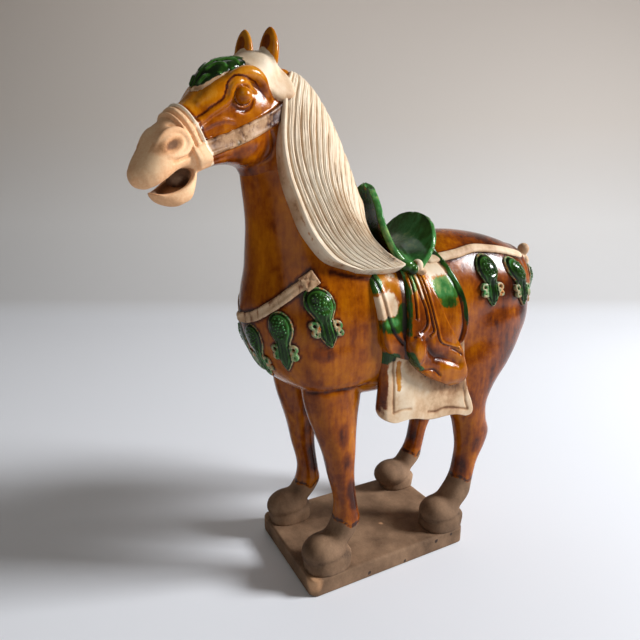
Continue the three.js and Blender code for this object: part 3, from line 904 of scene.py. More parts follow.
# %% Eyes, brows and lids
BROW = ([(84, 7.6, 8.5), (72, 9.6, 10.5), (62, 11.4, 14), (54, 13, 16.8), (46, 12.4, 18.6),
         (40, 9, 19.8), (36, 3.4, 20), (34, -2, 19.6), (33, -8, 19)],
        (2, 3.1, 3.9, 4.6, 5, 4.9, 4.4, 3.4, 2))
LID = ([(98, -0.5, 14), (90, 0, 14), (82, 1, 15), (74, 2, 17), (69, 3, 18), (65.4, 5, 19),
        (63.2, 7.6, 19), (60, 9.8, 19), (56, 10.4, 19), (52, 9.2, 19), (49, 6.4, 19.5), (47, 3, 20),
        (44, -1, 20)], (2.2, 2.1, 2, 1.9, 1.9, 2, 2.1, 2.2, 2.2, 2.2, 2.1, 1.8, 0.9))
LID_GROOVE = [(98, 3.4, 12), (90, 3.2, 13), (82, 3.8, 14), (75, 4.6, 15), (70, 6, 16.5),
              (66.6, 9.2, 17), (63, 12.6, 17), (57, 14, 18), (51, 13, 19), (46.4, 9.4, 21),
              (43.4, 4.6, 21.5), (41, -1, 21.5), (38, -7, 21.5)]
LOWER_LID = [(64.8, 0, 18), (62.6, -3.2, 18.8), (57.8, -5.2, 19.4), (53, -4.2, 19.8),
             (50.2, -1, 20), (49.6, 2, 20)]
UNDER_EYE = [(64.5, -4.4, 18.2), (59.5, -7.4, 19.2), (53, -7.2, 20.2), (49, -4.4, 21)]
CREST = [(97, -4.2, 14.2), (89, -4.6, 14.8), (82, -5, 15.4), (76, -6.5, 16.4), (70, -10, 18)]
EYE, EYE_HALF = (56.8, 2.2, 20.8), (5.7, 5.7, 5.7)
SOCKET, SOCKET_HALF = (56.8, 2.2, 26.5), (7.9, 7.4, 8.6)
JAW_LINE = [(44, -27, 22), (43.5, -36, 21), (48, -44, 19), (58, -47, 15)]
head_lines, lid_forms, eyes = [], [], []


def incise(path, side, radii, fillet=0.5, count=40):
    """Cuts a line into the head, and keeps it for the glaze that pools there."""
    line = rope(cling(on_head(path, side), head), radii, count)
    head.cut(line, fillet)
    head_lines.append(line)


for side in (1, -1):
    fullness = 1.0 if side > 0 else 0.7
    head.add(rope(on_head(BROW[0], side), np.array(BROW[1]) * fullness, 30), 4)
    lid = cling(on_head(LID[0], side), head, 0.5)
    crest = cling(on_head(CREST, side), head, 0.6)
    head.cut(head_ball(SOCKET, SOCKET_HALF, side), 0.6)
    lid_forms.append(rope(lid, 1.15 * np.array(LID[1]), 40))
    head.add(lid_forms[-1], 0.8)
    incise(LID_GROOVE, side, 0.5, 0.4)
    eyes.append(head_ball(EYE, EYE_HALF, side))
    head.add(eyes[-1], 0.1)
    head.add(rope(cling(on_head(LOWER_LID, side), head, -0.2), 1.1), 0.5)
    incise(UNDER_EYE, side, (0.4, 1.1, 1.1, 0.4), 1.2)
    head.add(rope(crest, (1.8, 1.7, 1.6, 1.3, 0.8)), 1.2)
    incise(JAW_LINE, side, (0.3, 0.7, 0.7, 0.3), 2)
print("lines cut into the head:", len(head_lines))

# %% Nostrils and lips
NOSTRIL_RIM = [(129, -1, 9), (122, 3, 10.5), (115, 4, 12), (109.4, 1.6, 13.5), (107, -2.6, 14.5),
               (107.4, -7.4, 15.5), (112, -10.6, 16), (119, -10.6, 16.6), (126, -8, 16)]
NOSTRIL_PIT = (119.5, -3.2, 15)
LIP_LINE = [(107, -12.6, 15), (112, -14.4, 16), (118, -14, 16.5), (125, -12, 16)]
NOSE_LINE = [(112, 7, 8), (109.6, 4, 11), (105.4, 0, 13.5)]
for side in (1, -1):
    proud = 1.0 if side > 0 else 0.6
    head.add(head_ball((117, -4, 9.5 * proud), (10.5, 8.5, 6.4 * proud), side), 4)
    rim = cling(on_head(NOSTRIL_RIM, side), head, 0.3)
    head.add(rope(rim, (0.8, 1.6, 2.1, 2.5, 2.6, 2.4, 2.1, 1.6, 0.8), 30), 1.1)
    pit = cling(on_head([NOSTRIL_PIT], side), head)[0]
    head.cut(ball(pit, (7.2, 3.9, 2.6), head_turn), 1.2)
    incise(LIP_LINE, side, (0.4, 1.0, 1.1, 0.4), 1.2)
    incise(NOSE_LINE, side, (0.4, 1.0, 0.6), 1.5)
print("lines with those of nostrils and lips:", len(head_lines))

# %% Noseband, cheek straps and bosses
CHEEK_STRAP = [(99, -16.8, 14), (94, -17.4, 15), (86, -18.4, 16.5), (75, -20, 18), (64, -20.6, 20),
               (54, -21, 21.5), (43, -21.3, 22.5), (34, -21.6, 22), (20, -22, 19)]
STRAP_JOINTS = [((74, -12, 19), (71, -29, 18)), ((70, -12, 20), (67, -29, 19)),
                ((46, -12, 23), (43.6, -30, 22)), ((42.6, -12, 23), (40.2, -30, 22))]


def ridge_wave(inside):
    """A wave across the noseband, by how far inside its edge a place is."""
    return np.cos(2 * math.pi * (inside - 1.0) / RIDGE_PITCH)


def three_ridges(within):
    return 1.3 + 1.1 * ridge_wave(-within)


def band_across(points):
    """Distance to everything within half the noseband's width of its middle."""
    return np.abs((points - POLL) @ nose_along - NOSEBAND_AT) - NOSEBAND_HALF


def square_boss(points):
    """Distance to the block where the noseband ends."""
    s, u, v = head_places(points).T
    out = np.maximum(np.abs(s - 103) - 5.2, np.abs(u + 19) - 7.2)
    return np.maximum(out, 4 - np.abs(v))


band_box = skull.low - 4, skull.high + 4
noseband = Form(band_across, *band_box)
upper_muzzle = loft(head_axes, [row for row in HEAD if 85 < row[0] < 120], power=2.3, egg=0.12)
head.add(raised(upper_muzzle, three_ridges, noseband, 0.4), 0.4)
head.add(raised(bare_skull, even(2.6), Form(square_boss, *band_box), 1.0), 0.4)
cheek_straps = []
for side in (1, -1):
    strap = rope(cling(on_head(CHEEK_STRAP, side), bare_skull), 5.4, 30)
    cheek_straps.append(strap)
    head.add(raised(bare_skull, rimmed(1.7, 0.5, 1.6), strap, 0.5), 0.3)
    for joint in STRAP_JOINTS:
        head.cut(rope(cling(on_head(joint, side), bare_skull, -2.1), 0.55, 6), 0.3)
print("forms in the head so far:", len(head.steps))

# %% Boss, forelock and ears
BOSS_SCROLLS = [[(75, 15, 3), (69, 18, 5), (64, 16, 8), (67, 14, 9)],
                [(65, 21, 3), (58, 22, 5), (54, 19, 8), (58, 16, 9.5), (62, 17.5, 9)],
                [(53, 22, 3), (46, 21, 5.5), (43, 18, 8.5), (47, 15.5, 10), (51, 17, 10)],
                [(41, 20, 3), (36, 17, 5.5), (36, 14, 8)],
                [(78, 14, 0), (66, 21.5, 0), (52, 23, 0), (38, 19, 0)]]
FORELOCK = ([(27, 13, -4), (28, 14.5, 4), (26, 13.5, 12), (23, 9, 17), (20.5, 1, 19),
             (18, -7, 19.5), (16, -13, 19.5)], (9, 10.5, 12.5, 14, 13.5, 10.5, 6.5))


def ridged(within):
    """A slab that rises to a ridge along its middle."""
    return 3.8 + 0.16 * np.clip(-within, 0, 9)


boss = loft(head_axes, FOREHEAD_BOSS, power=2.0)
head.add(boss, 0.5)
boss_clay = Clay().add(boss)
boss_lines, forelocks, hollows = [], [], []
hair_base = bare_skull.copy()
hair_base.add(head_ball((24, 7, 0), (15, 8, 15)), 4)
for side in (1, -1):
    for scroll in BOSS_SCROLLS:
        boss_lines.append(rope(cling(on_head(scroll, side), boss_clay), 1.25, 24))
        head.add(boss_lines[-1], 0.4)
    hair = rope(cling(on_head(FORELOCK[0], side), hair_base), FORELOCK[1], 30)
    forelocks.append(hair)
    head.add(raised(hair_base, ridged, hair, 2.4, 5.0), 0.8)
    ear_root = on_head([(17, 9, 12.5)], side)[0]
    ear_axes = (ear_root, (head_up + 0.12 * forward) / math.hypot(1, 0.12), forward, head_side)
    ear_turn = np.array(ear_axes[1:])
    head.add(loft(ear_axes, EAR, power=2.0), 2)
    hollows.append(ball(ear_root + np.array([13.5, 6, 0]) @ ear_turn, (7.5, 5.2, 5.4), ear_turn))
    head.cut(hollows[-1], 0.8)
print("forms in the finished head:", len(head.steps))


# %% Paint of the head
def near_any(forms, points, start, end):
    """One where a point is nearer than start to any of the forms, nothing beyond end."""
    share = np.zeros(len(points))
    for form in forms:
        close = form.near(points, end)
        share[close] = np.maximum(share[close], soft_step(form.distance(points[close]), end, start))
    return share


MOUTH, MOUTH_HALF = (123, -28.5, 0), (16.5, 8.6, 11.5)


def paint_head(points, out):
    s, u, v = head_places(points).T
    glaze, flow_and_painted_light = plain_amber(points)
    front = soft_step(s, 95.4, 96.4)
    band_edge = soft_step(np.abs(s - 96.6), 1.6, 0.8)
    strap = near_any(cheek_straps, points, -0.2, 0.6) * soft_step(s, 96.5, 95.5)
    strap *= soft_step(bare_skull.distance(points), 0.3, 1.0)
    hair = near_any(forelocks, points, -0.4, 0.8)
    hair *= soft_step(hair_base.distance(points), 7.4, 6.2)
    boss_top = near_any([boss] + boss_lines, points, 0.3, 0.8)
    rim = boss_top * soft_step(hair_base.distance(points), 2.2, 1.0) * soft_step(s, 50, 58)
    glaze[:, 0] = np.maximum(boss_top - rim, 0.35 * strap * patch(s, u, (76, -23), (4, 4)))
    glaze[:, 1] = np.maximum.reduce([band_edge, 0.72 * strap, hair, rim])
    glaze[:, 1] -= 0.3 * strap * soft_step(s, 50, 40)
    glaze[:, 2] = front * (1 - band_edge)

    hollow = near_any(hollows, points, 0.4, 1.0) * (1 - hair)
    mouth = soft_step(np.linalg.norm(
        (head_places(points) - MOUTH) / MOUTH_HALF, axis=1), 1.05, 0.95)
    # Darker in and beside the nostril pit
    dark_patch = patch(s, u, (119.5, -3.2), (8, 4)) + 0.6 * patch(s, u, (128, -2), (5, 3))
    pit = 0.75 * patch(s, u, (119, -3.4), (4.6, 2.4)) * (np.abs(v) > 6)
    from_band = np.abs(s - NOSEBAND_AT)
    valleys = 0.45 * soft_step(ridge_wave(NOSEBAND_HALF - from_band), 0, -1)
    valleys *= from_band < NOSEBAND_HALF + 1
    lines = near_any(head_lines, points, 0.0, 0.5)
    ring = bell(np.hypot(s - EYE[0], u - EYE[1]) - 6.2, 0.7) * (np.abs(v) > 12)
    behind_band = bell(s - 93.8, 1.1) * soft_step(u, -24, -20)
    scrolls = near_any(boss_lines, points, 0.1, 0.6)
    # Painted shade: darker where the head faces down, and on the tongue inside the mouth
    flow_and_painted_light[:, 0] = np.maximum.reduce([
        0.8 * lines * (1 - front), 0.7 * lines * front, 0.95 * ring, 0.8 * behind_band,
        0.75 * hollow, 0.6 * patch(s, u, (70, -33), (16, 6)), 0.5 * boss_top * (1 - scrolls),
        0.15 * hair, 0.5 * hair * soft_step(u, -6, -16), 0.35 * hair * soft_step(v, 8, -4),
        0.9 * dark_patch * (np.abs(v) > 6), valleys, 0.35 * soft_step(out[:, 2], 0.2, -0.6),
        0.9 * strap, 0.5 * near_any([tongue], points, 0.3, 1.5)])
    # Painted highlight: paler over the top of the head. Inside the mouth the pale clay is left out,
    # as painted shade
    flow_and_painted_light[:, 1] = np.maximum.reduce([
        front * (1 - 0.9 * np.maximum(mouth, pit)), 0.15 * boss_top * scrolls,
        0.35 * near_any(lid_forms, points, 0.2, 1.2), 0.5 * near_any(eyes, points, 0.2, 0.5),
        0.6 * soft_step(u, 0, 9) * (1 - boss_top) * (1 - lines)])
    # Soot colour in the mouth, painted shade
    flow_and_painted_light[:, 2] = 0.15 * mouth
    return glaze, flow_and_painted_light


clay_piece("horse_head", head, glazed_earthenware, paint_head)

# %% [markdown]
# ## The mane
# The mane is a thick slab of clay, combed with a toothed tool while it was soft. Its furrows
# leave the crest, fall, and sweep back to the saddle. A surface through three guide curves
# gives the slab, and the furrows follow the same curves, so they never cross its edge.

# %% Sheets of clay with rounded edges
def quads(number):
    """The four-sided faces between the numbered points of a grid."""
    return np.stack([number[:-1, :-1], number[1:, :-1], number[1:, 1:], number[:-1, 1:]],
                    -1).reshape(-1, 4)


def sheet_between(top, bottom):
    """The points and faces of a slab between two grids of points, closed all round."""
    rows, columns = top.shape[:2]
    count = rows * columns
    number = np.arange(count).reshape(rows, columns)
    rim = np.concatenate([number[0, :-1], number[:-1, -1], number[-1, :0:-1], number[:0:-1, 0]])
    after = np.roll(rim, -1)
    faces = np.concatenate([
        quads(number), quads(number)[:, ::-1] + count,
        np.stack([rim, after, after + count, rim + count], 1)])
    return np.concatenate([top.reshape(-1, 3), bottom.reshape(-1, 3)]), faces


def closed_sheet(name, top, bottom, material, painter):
    points, faces = sheet_between(top, bottom)
    out = np.concatenate([grid_normals(top).reshape(-1, 3)] * 2)
    return make_piece(name, points, faces, material, painter(points, out))


def grid_normals(grid):
    """The direction across a grid at each of its points."""
    down, across = np.gradient(grid, axis=0), np.gradient(grid, axis=1)
    out = np.cross(across, down)
    out /= np.maximum(np.linalg.norm(out, axis=2, keepdims=True), 1e-9)
    return out


def edge_distance(grid):
    """How far each point of a grid is from the grid's border, in millimetres."""
    down = np.linalg.norm(np.diff(grid, axis=0), axis=2)
    across = np.linalg.norm(np.diff(grid, axis=1), axis=2)
    run_down = np.concatenate([np.zeros((1, grid.shape[1])), np.cumsum(down, 0)])
    run_across = np.concatenate([np.zeros((grid.shape[0], 1)), np.cumsum(across, 1)], 1)
    return np.minimum(np.minimum(run_down, run_down[-1] - run_down),
                      np.minimum(run_across, run_across[:, -1:] - run_across))


def rounding(distance, radius):
    """How far a rounded edge has dropped, from nothing inside to the radius at the border."""
    share = 1 - np.clip(distance / radius, 0, 1)
    return radius * (1 - np.sqrt(np.maximum(1 - share**2, 0)))


# %% Geometry Nodes: a tree, and its result as a mesh
def nodes_tree(name, inputs):
    """A geometry tree with named inputs, each a name, a kind and a value."""
    tree = bpy.data.node_groups.new(name, "GeometryNodeTree")
    tree.interface.new_socket("Geometry", in_out="INPUT", socket_type="NodeSocketGeometry")
    for title, kind, value in inputs:
        socket = tree.interface.new_socket(title, in_out="INPUT", socket_type=kind)
        if value is not None:
            socket.default_value = value
    tree.interface.new_socket("Geometry", in_out="OUTPUT", socket_type="NodeSocketGeometry")
    given = add_node(tree, "NodeGroupInput").outputs
    return tree, given


def finish_tree(tree, geometry, material):
    """Every tree ends with real geometry and its material."""
    real = add_node(tree, "GeometryNodeRealizeInstances", {"Geometry": geometry})
    clad = add_node(tree, "GeometryNodeSetMaterial", {
        "Geometry": real.outputs["Geometry"], "Material": material})
    add_node(tree, "NodeGroupOutput", {"Geometry": clad.outputs["Geometry"]})


def grown(mesh, tree, values):
    """Runs a tree on a mesh and returns what it makes as a new mesh."""
    holder = bpy.data.objects.new(mesh.name, mesh)
    bpy.context.scene.collection.objects.link(holder)
    modifier = holder.modifiers.new(tree.name, "NODES")
    modifier.node_group = tree
    for item in tree.interface.items_tree:
        if item.in_out == "INPUT" and item.name in values:
            modifier[item.identifier] = values[item.name]
    holder.update_tag()
    graph = bpy.context.evaluated_depsgraph_get()
    result = bpy.data.meshes.new_from_object(
        holder.evaluated_get(graph), preserve_all_data_layers=True, depsgraph=graph)
    holder.modifiers.remove(modifier)
    bpy.data.objects.remove(holder)
    return result


# %% Geometry Nodes: combed furrows
def combed_furrows(name):
    """Grooves across a sheet that carries how far each point is across, down and inside."""
    tree, given = nodes_tree(name, [
        ("Furrows", "NodeSocketFloat", 13.0), ("Depth", "NodeSocketFloat", 0.0024),
        ("Fine", "NodeSocketFloat", 0.0006), ("Wander", "NodeSocketFloat", 0.10),
        ("Seed", "NodeSocketFloat", 3.0), ("Clay", "NodeSocketMaterial", None)])
    across, down, inner = (
        Mask(add_node(tree, "GeometryNodeInputNamedAttribute", {"Name": title},
                      data_type="FLOAT").outputs["Attribute"])
        for title in ("across", "down", "inner"))

    def waver(scale_across, scale_down, shift):
        spot = add_node(tree, "ShaderNodeCombineXYZ", {
            "X": across * scale_across, "Y": down * scale_down,
            "Z": Mask(given["Seed"]) + shift})
        noise = add_node(tree, "ShaderNodeTexNoise", {
            "Vector": spot.outputs["Vector"], "Scale": 1.0, "Detail": 2.0})
        return Mask(noise.outputs[0]) - 0.5

    def grooves(per_furrow, shift, start):
        """One in the bottom of a groove, nothing on the ridges between."""
        wavering = across + waver(5.0, 2.2, shift) * given["Wander"]
        phase = wavering * (Mask(given["Furrows"]) * per_furrow) + shift
        away = (phase.math("FRACT") - 0.5).math("ABSOLUTE")
        rise = ((away * 2.0 - start) / (1.0 - start)).clamped()
        return rise * rise

    uneven = (waver(9.0, 3.0, 7.0) * 2.6 + 0.75).clamped()
    wide = grooves(1.0, 0.0, 0.55) * uneven
    fine = grooves(3.0, 0.37, 0.5) + grooves(5.0, 0.71, 0.4) * 0.6
    sunk = (wide * given["Depth"] + fine * given["Fine"]) * inner
    stored = add_node(tree, "GeometryNodeStoreNamedAttribute", {
        "Geometry": given["Geometry"], "Name": "furrow", "Value": wide + fine * 0.25},
        data_type="FLOAT", domain="POINT")
    push = add_node(tree, "ShaderNodeVectorMath", {
        "Vector": add_node(tree, "GeometryNodeInputNormal").outputs["Normal"],
        "Scale": sunk * -1.0}, operation="SCALE")
    pushed = add_node(tree, "GeometryNodeSetPosition", {
        "Geometry": stored.outputs["Geometry"], "Offset": push.outputs["Vector"]})
    finish_tree(tree, pushed.outputs["Geometry"], given["Clay"])
    return tree


furrowing = combed_furrows("combed_furrows")
print("inputs:", *(item.name for item in furrowing.interface.items_tree))

# %% Mane
MANE_GUIDES = [
    [(0, -74, 407), (13, -80, 403), (22, -88, 391), (27, -92, 374), (30, -94, 355),
     (32.5, -92, 335), (37, -85, 310), (43, -77, 288), (49, -64, 270), (52, -38, 259)],
    [(0, -47, 387), (12, -49, 383), (22, -53, 371), (30, -57, 350), (36, -57, 326),
     (44, -50, 301), (51, -40, 282), (54, -24, 269), (55, -6, 259)],
    [(0, -10, 316), (14, -15, 311), (26, -20, 304), (37, -25, 296),
     (45, -27, 289), (51, -25, 281), (54, -15, 272), (51, 6, 262)],
]
MANE_INSIDE = np.array([-14.0, -3.0, -8.0])
# On the near and the far side: the grid's columns and rows, the furrows and their seed
MANE_GRID = {1: (300, 100), -1: (220, 90)}
FURROWS = {1: 13.0, -1: 10.0}
MANE_SEED = {1: 3.0, -1: 8.0}


def mane(side):
    across, down = MANE_GRID[side]
    s = np.linspace(0, 1, across)
    guides = [through_points(g, down) for g in MANE_GUIDES]
    weights = [2 * (s - 0.5) * (s - 1), 4 * s * (1 - s), 2 * s * (s - 0.5)]
    grid = sum(w[None, :, None] * g[:, None, :] for w, g in zip(weights, guides))
    t = np.linspace(0, 1, down)[:, None]
    out = grid_normals(grid)
    out *= np.sign((out * [1, 0, 0.3]).sum(2, keepdims=True).mean())
    rim = edge_distance(grid)
    lip = 1.2 * bell(rim - 2.5, 2.2)
    top = grid - out * (rounding(rim, 3.2) - lip)[:, :, None]
    bottom = grid + MANE_INSIDE
    flip = np.array([side, 1, 1])
    name = f"mane_{'near' if side > 0 else 'far'}"
    points, faces = sheet_between(top * flip, bottom * flip)
    mesh = new_mesh(name, points, faces, glazed_earthenware)
    below_top = np.zeros(across * down)
    edge = soft_step(rim, 1.5, 5.0)
    add_values(mesh, "across", np.concatenate([np.broadcast_to(s, (down, across)).ravel()] * 2))
    add_values(mesh, "down", np.concatenate([np.broadcast_to(t, (down, across)).ravel()] * 2))
    add_values(mesh, "inner", np.concatenate([edge.ravel(), below_top]))
    mesh = grown(mesh, furrowing, {
        "Furrows": FURROWS[side], "Seed": MANE_SEED[side], "Clay": glazed_earthenware})
    furrow = np.zeros(len(mesh.vertices), np.float32)
    mesh.attributes["furrow"].data.foreach_get("value", furrow)
    z = points[:, 2]
    glaze, flow_and_painted_light = plain_amber(points)
    border = np.concatenate([rim.ravel(), below_top + 9])
    glaze[:, 1] = 1.0 - 0.3 * soft_step(border, 1.2, 0.0)
    flow_and_painted_light[:, 0] = furrow
    flow_and_painted_light[:, 1] = 0.5 + 0.45 * soft_step(z, 300, 262)
    brush_on(mesh, (glaze, flow_and_painted_light))
    return new_piece(name, mesh)


for side in (1, -1):
    mane(side)

# %% [markdown]
# ## The saddle
# Pommel and cantle are two arched plates, with a seat slung between them. The three are one
# pressed sheet of clay about 6 mm thick, so one curved surface with rounded rims makes them.

# %% Saddle
# At the middle and at the edge, the place along the horse and the height, then the half width
SADDLE = [
    (-0.5, 327, -0.5, 326.9, 2), (-0.4, 326, -0.8, 324.2, 9), (0, 322.2, -1, 317.8, 16.5),
    (0.8, 315.4, -1.5, 308.4, 24), (1.8, 305.4, -2, 297, 30.5), (4, 293, -1, 284.6, 37.5),
    (8, 283, 2, 272, 45), (14, 277, 9, 263, 48), (21, 275, 17.5, 256.5, 49),
    (31, 278, 27, 263, 48), (38.5, 283, 34.5, 272, 45), (43, 290, 40, 281.5, 41),
    (46, 296, 44, 290, 34), (47.8, 300, 46.8, 296.8, 25), (48.8, 302.2, 48.4, 301, 13.5),
    (49, 302.8, 49, 302.7, 3),
]
SADDLE_ROWS, SADDLE_COLUMNS, SEAT_POINT = 170, 90, (100, 45)
SADDLE_THICK, SADDLE_ROUND = 6.0, 3.0


def saddle():
    rows = through_points(SADDLE, SADDLE_ROWS)
    share = np.sin(np.linspace(-math.pi / 2, math.pi / 2, SADDLE_COLUMNS))[None, :]
    y = rows[:, :1] + (rows[:, 2:3] - rows[:, :1]) * share**2
    z = rows[:, 1:2] + (rows[:, 3:4] - rows[:, 1:2]) * share**2
    grid = np.stack([share * rows[:, 4:5], y, z], -1)
    out = grid_normals(grid)
    out *= np.sign(out[SEAT_POINT][2])
    border = edge_distance(grid)
    drop = rounding(border, SADDLE_ROUND)
    top = grid - out * drop[:, :, None]
    bottom = grid - out * (SADDLE_THICK - drop)[:, :, None]
    rim = np.concatenate([soft_step(border, 3.0, 1.0).ravel()] * 2)

    def paint(points, out):
        glaze, flow_and_painted_light = plain_amber(points)
        pommel = soft_step(points[:, 1], 14, 6)
        glaze[:, 0] = 1 - 0.25 * pommel * (1 - rim)
        flow_and_painted_light[:, 0] = 0.1 * pommel * (1 - rim)
        flow_and_painted_light[:, 1] = (1 - pommel) * (1 - rim) * (
            0.2 + 0.3 * soft_step(points[:, 2], 300, 274)) + 0.55 * rim
        return glaze, flow_and_painted_light

    return closed_sheet("saddle", top, bottom, glazed_earthenware, paint)


saddle()

# %% [markdown]
# ## Cloths over the back
# A blanket hangs to the belly, an apron lies over it, and a gathered cover hangs over both
# from a knot beside the saddle. All were rolled sheets, laid on the leather-hard body, with
# folds pressed by thumb and lines cut with a point. Each is a surface over places along the
# horse and heights, so a line or a colour is put where the photograph has it.

# %% Cloth tables: a height, the front and rear edge there, and how far off the body
BLANKET = [(250, -18, 58, 1.5), (226, -20, 66, 3), (200, -18, 69, 4), (176, -18, 72, 4),
           (158, -18, 74, 5), (145, -19, 78, 5), (136, -19, 83, 5), (130, -16, 85, 5),
           (126, -9, 84, 5), (124, 0, 76, 5)]
APRON = [(275, 41, 46, -4), (269, 37, 49, -2), (264, 31, 53, 1), (260.5, 4, 55, 1.6),
         (257, -20, 56.5, 2.2), (252, -26, 58, 3), (238, -25, 65, 4.2), (226, -23, 69, 5),
         (212, -20.5, 71, 6), (200, -19, 70, 7), (192, -15, 65, 7), (186, -5, 56, 7),
         (182, 8, 46, 7)]
COVER = [(262, 4.5, 24.5, 4.4), (252, 5, 27, 6), (232, 3.5, 36, 8), (212, 2, 45, 9.5),
         (200, 0.5, 52, 11), (188, 3, 60, 12.5), (176, 12, 64, 13.5), (166, 24, 67, 13.5),
         (158, 40, 67, 12), (152, 52, 61, 8)]
CLOTH_SHOULDER = 262.0
BELLY_HEIGHT, BELLY_HALF_WIDTH = 205.0, 52.0
# Rows and columns of each cloth's grid, on the near and the far side
CLOTH_GRID = {1: (120, 104), -1: (80, 72)}
trunk_places, trunk_rows = through_rows(TRUNK)


def trunk_side(y, z):
    """The trunk's half width at a place along it and a height."""
    low, high, half, _, n = (np.interp(y, trunk_places, trunk_rows[:, k]) for k in range(5))
    rise = (z - (low + high) / 2) / ((high - low) / 2)
    round_part = np.maximum(1 - np.abs(rise) ** n, 0) ** (1 / n)
    return half * (1 - TRUNK_EGG * np.clip(rise, -1, 1)) * round_part


def lie_on_side(y, z):
    """Where a cloth lies: on the trunk, and hanging free below its widest place."""
    body_side = trunk_side(y, np.minimum(z, CLOTH_SHOULDER))
    hang = soft_step(z, BELLY_HEIGHT + 10, BELLY_HEIGHT - 6)
    return body_side + hang * np.maximum(BELLY_HALF_WIDTH - body_side, 0)


def cloth(name, table, side, thick, relief, painter, wave=None):
    """A slab over the body's side, with its relief outwards and, if given, a waved hem."""
    down, across = CLOTH_GRID[side]
    z, front, rear, off = through_points(table, down).T
    share = np.linspace(0, 1, across)[None, :]
    y = front[:, None] + (rear - front)[:, None] * share
    height = np.broadcast_to(z[:, None], y.shape)
    if wave:
        height = height + wave(y) * np.linspace(0, 1, down)[:, None] ** 3
    base = np.stack([lie_on_side(y, height) + off[:, None], y, height], -1)
    drop = rounding(edge_distance(base), min(thick, 3.0))
    lift = relief(y, height)
    top = base + np.stack([lift - drop, 0 * y, 0 * y], -1)
    bottom = base + np.stack([np.minimum(lift, 0) - thick, 0 * y, 0 * y], -1)
    flip = np.array([side, 1, 1])
    suffix = "near" if side > 0 else "far"
    return closed_sheet(f"{name}_{suffix}", top * flip, bottom * flip, glazed_earthenware, painter)


# %% Blanket
BLANKET_LINES = [[(-8, 184), (-7, 156), (-6.4, 138)], [(-6.3, 137), (1, 138.4), (11, 138)],
                 [(31, 131), (41, 129.5), (49, 131), (57, 130), (65, 128), (77, 124.5)],
                 [(77.5, 125), (74, 133), (72, 143)]]


def blanket_relief(y, z):
    cut = line_weights(y, z, BLANKET_LINES, 0.9)
    sag = 0.8 * np.sin(y / 15 + 1) * soft_step(z, 190, 130) - 2.5 * soft_step(y, -12, -19)
    return sag - 0.8 * np.minimum(cut, 1) + 0.35 * np.sin(y / 5.3) * np.sin(z / 7.1)


# The shadowed glaze under the cover ends at these heights
COVER_SHADOW = ([2, 18, 34, 46, 66], [186, 171, 162, 155, 150])


def paint_blanket(points, out):
    y, z = points[:, 1], points[:, 2]
    glaze, flow_and_painted_light = plain_amber(points)
    cut = np.clip(line_weights(y, z, BLANKET_LINES, 1.2), 0, 1)
    stain = 1.2 * line_weight(y, z, [(-2.5, 180), (-1.5, 158)], 3.2)
    stain = np.clip(stain + line_weight(y, z, [(73, 165), (75, 148)], 1.6), 0, 1)
    hem = np.interp(y, *COVER_SHADOW)
    # Painted shadow of the cover's hem on the blanket, darker and with soot colour
    dark_patch = soft_step(z, hem - 15, hem - 2) * soft_step(y, 2, 9)
    front_edge = soft_step(y, -10, -15) * soft_step(z, 126, 152)
    glaze[:, 0] = 0.9 * patch(y, z, (-14, 187), (9, 6))
    glaze[:, 1] = 1 - 0.75 * stain - soft_step(z, 186, 200) * (y < 30) - 0.9 * front_edge
    flow_and_painted_light[:, 0] = np.clip(0.8 * cut + 0.22 * front_edge + 0.08, 0, 1) + 0.7 * dark_patch
    flow_and_painted_light[:, 1] = 0.9 * stain
    flow_and_painted_light[:, 2] = 0.3 * dark_patch
    return glaze, flow_and_painted_light


def blanket_wave(y):
    return 5.5 - 12 * (y + 12) / 92 - 1.6 * np.cos((y + 10) / 7.6)


# %% Apron: the two panels that show beside the cover
APRON_CUT = [(-24, 253), (-19, 238), (-14, 217), (-9, 206), (-2, 198)]
APRON_BAND = [(44, 272), (50, 262), (57, 248), (63, 236), (67.5, 220), (68, 204), (64, 192)]
# A near-black line in the gap beside the cover, a painted shadow
APRON_GAP_SHADOW = [(2.5, 260), (1.5, 235), (0.5, 205), (3, 184)]
# Patches of glaze: how strong, where along the horse and how high, and the half sizes
APRON_CREAM = [(1, (-21, 230), (6, 11)), (1, (-12, 226), (8, 14)), (0.6, (-8, 252), (5, 4)),
               (1, (41, 257), (17, 9))]
APRON_GREEN = [(1, (-25, 248), (8, 9)), (1, (-9, 214), (14, 7)), (1, (-1, 222), (5, 9)),
               (1, (46, 239), (17, 10.5)), (0.7, (50, 226), (10, 4)),
               (0.9, (-12, 187), (9, 4.5))]
APRON_THIN = [(0.75, (45, 244), (17, 12)), (0.8, (-12, 216), (7, 4)), (0.4, (-8, 246), (9, 9))]


def apron_relief(y, z):
    cut = line_weight(y, z, APRON_CUT, 0.9)
    cut += 0.8 * line_weight(y, z, moved(APRON_BAND, -5), 0.8)
    ridge = 1.6 * line_weight(y, z, APRON_BAND, 2.4)
    ridge += 0.6 * line_weight(y, z, moved(APRON_CUT, 2.4, 1), 1.0)
    folds = 0.5 * np.sin(y / 4.2 + z / 30) * soft_step(z, 262, 240)
    return ridge - 0.9 * cut + folds


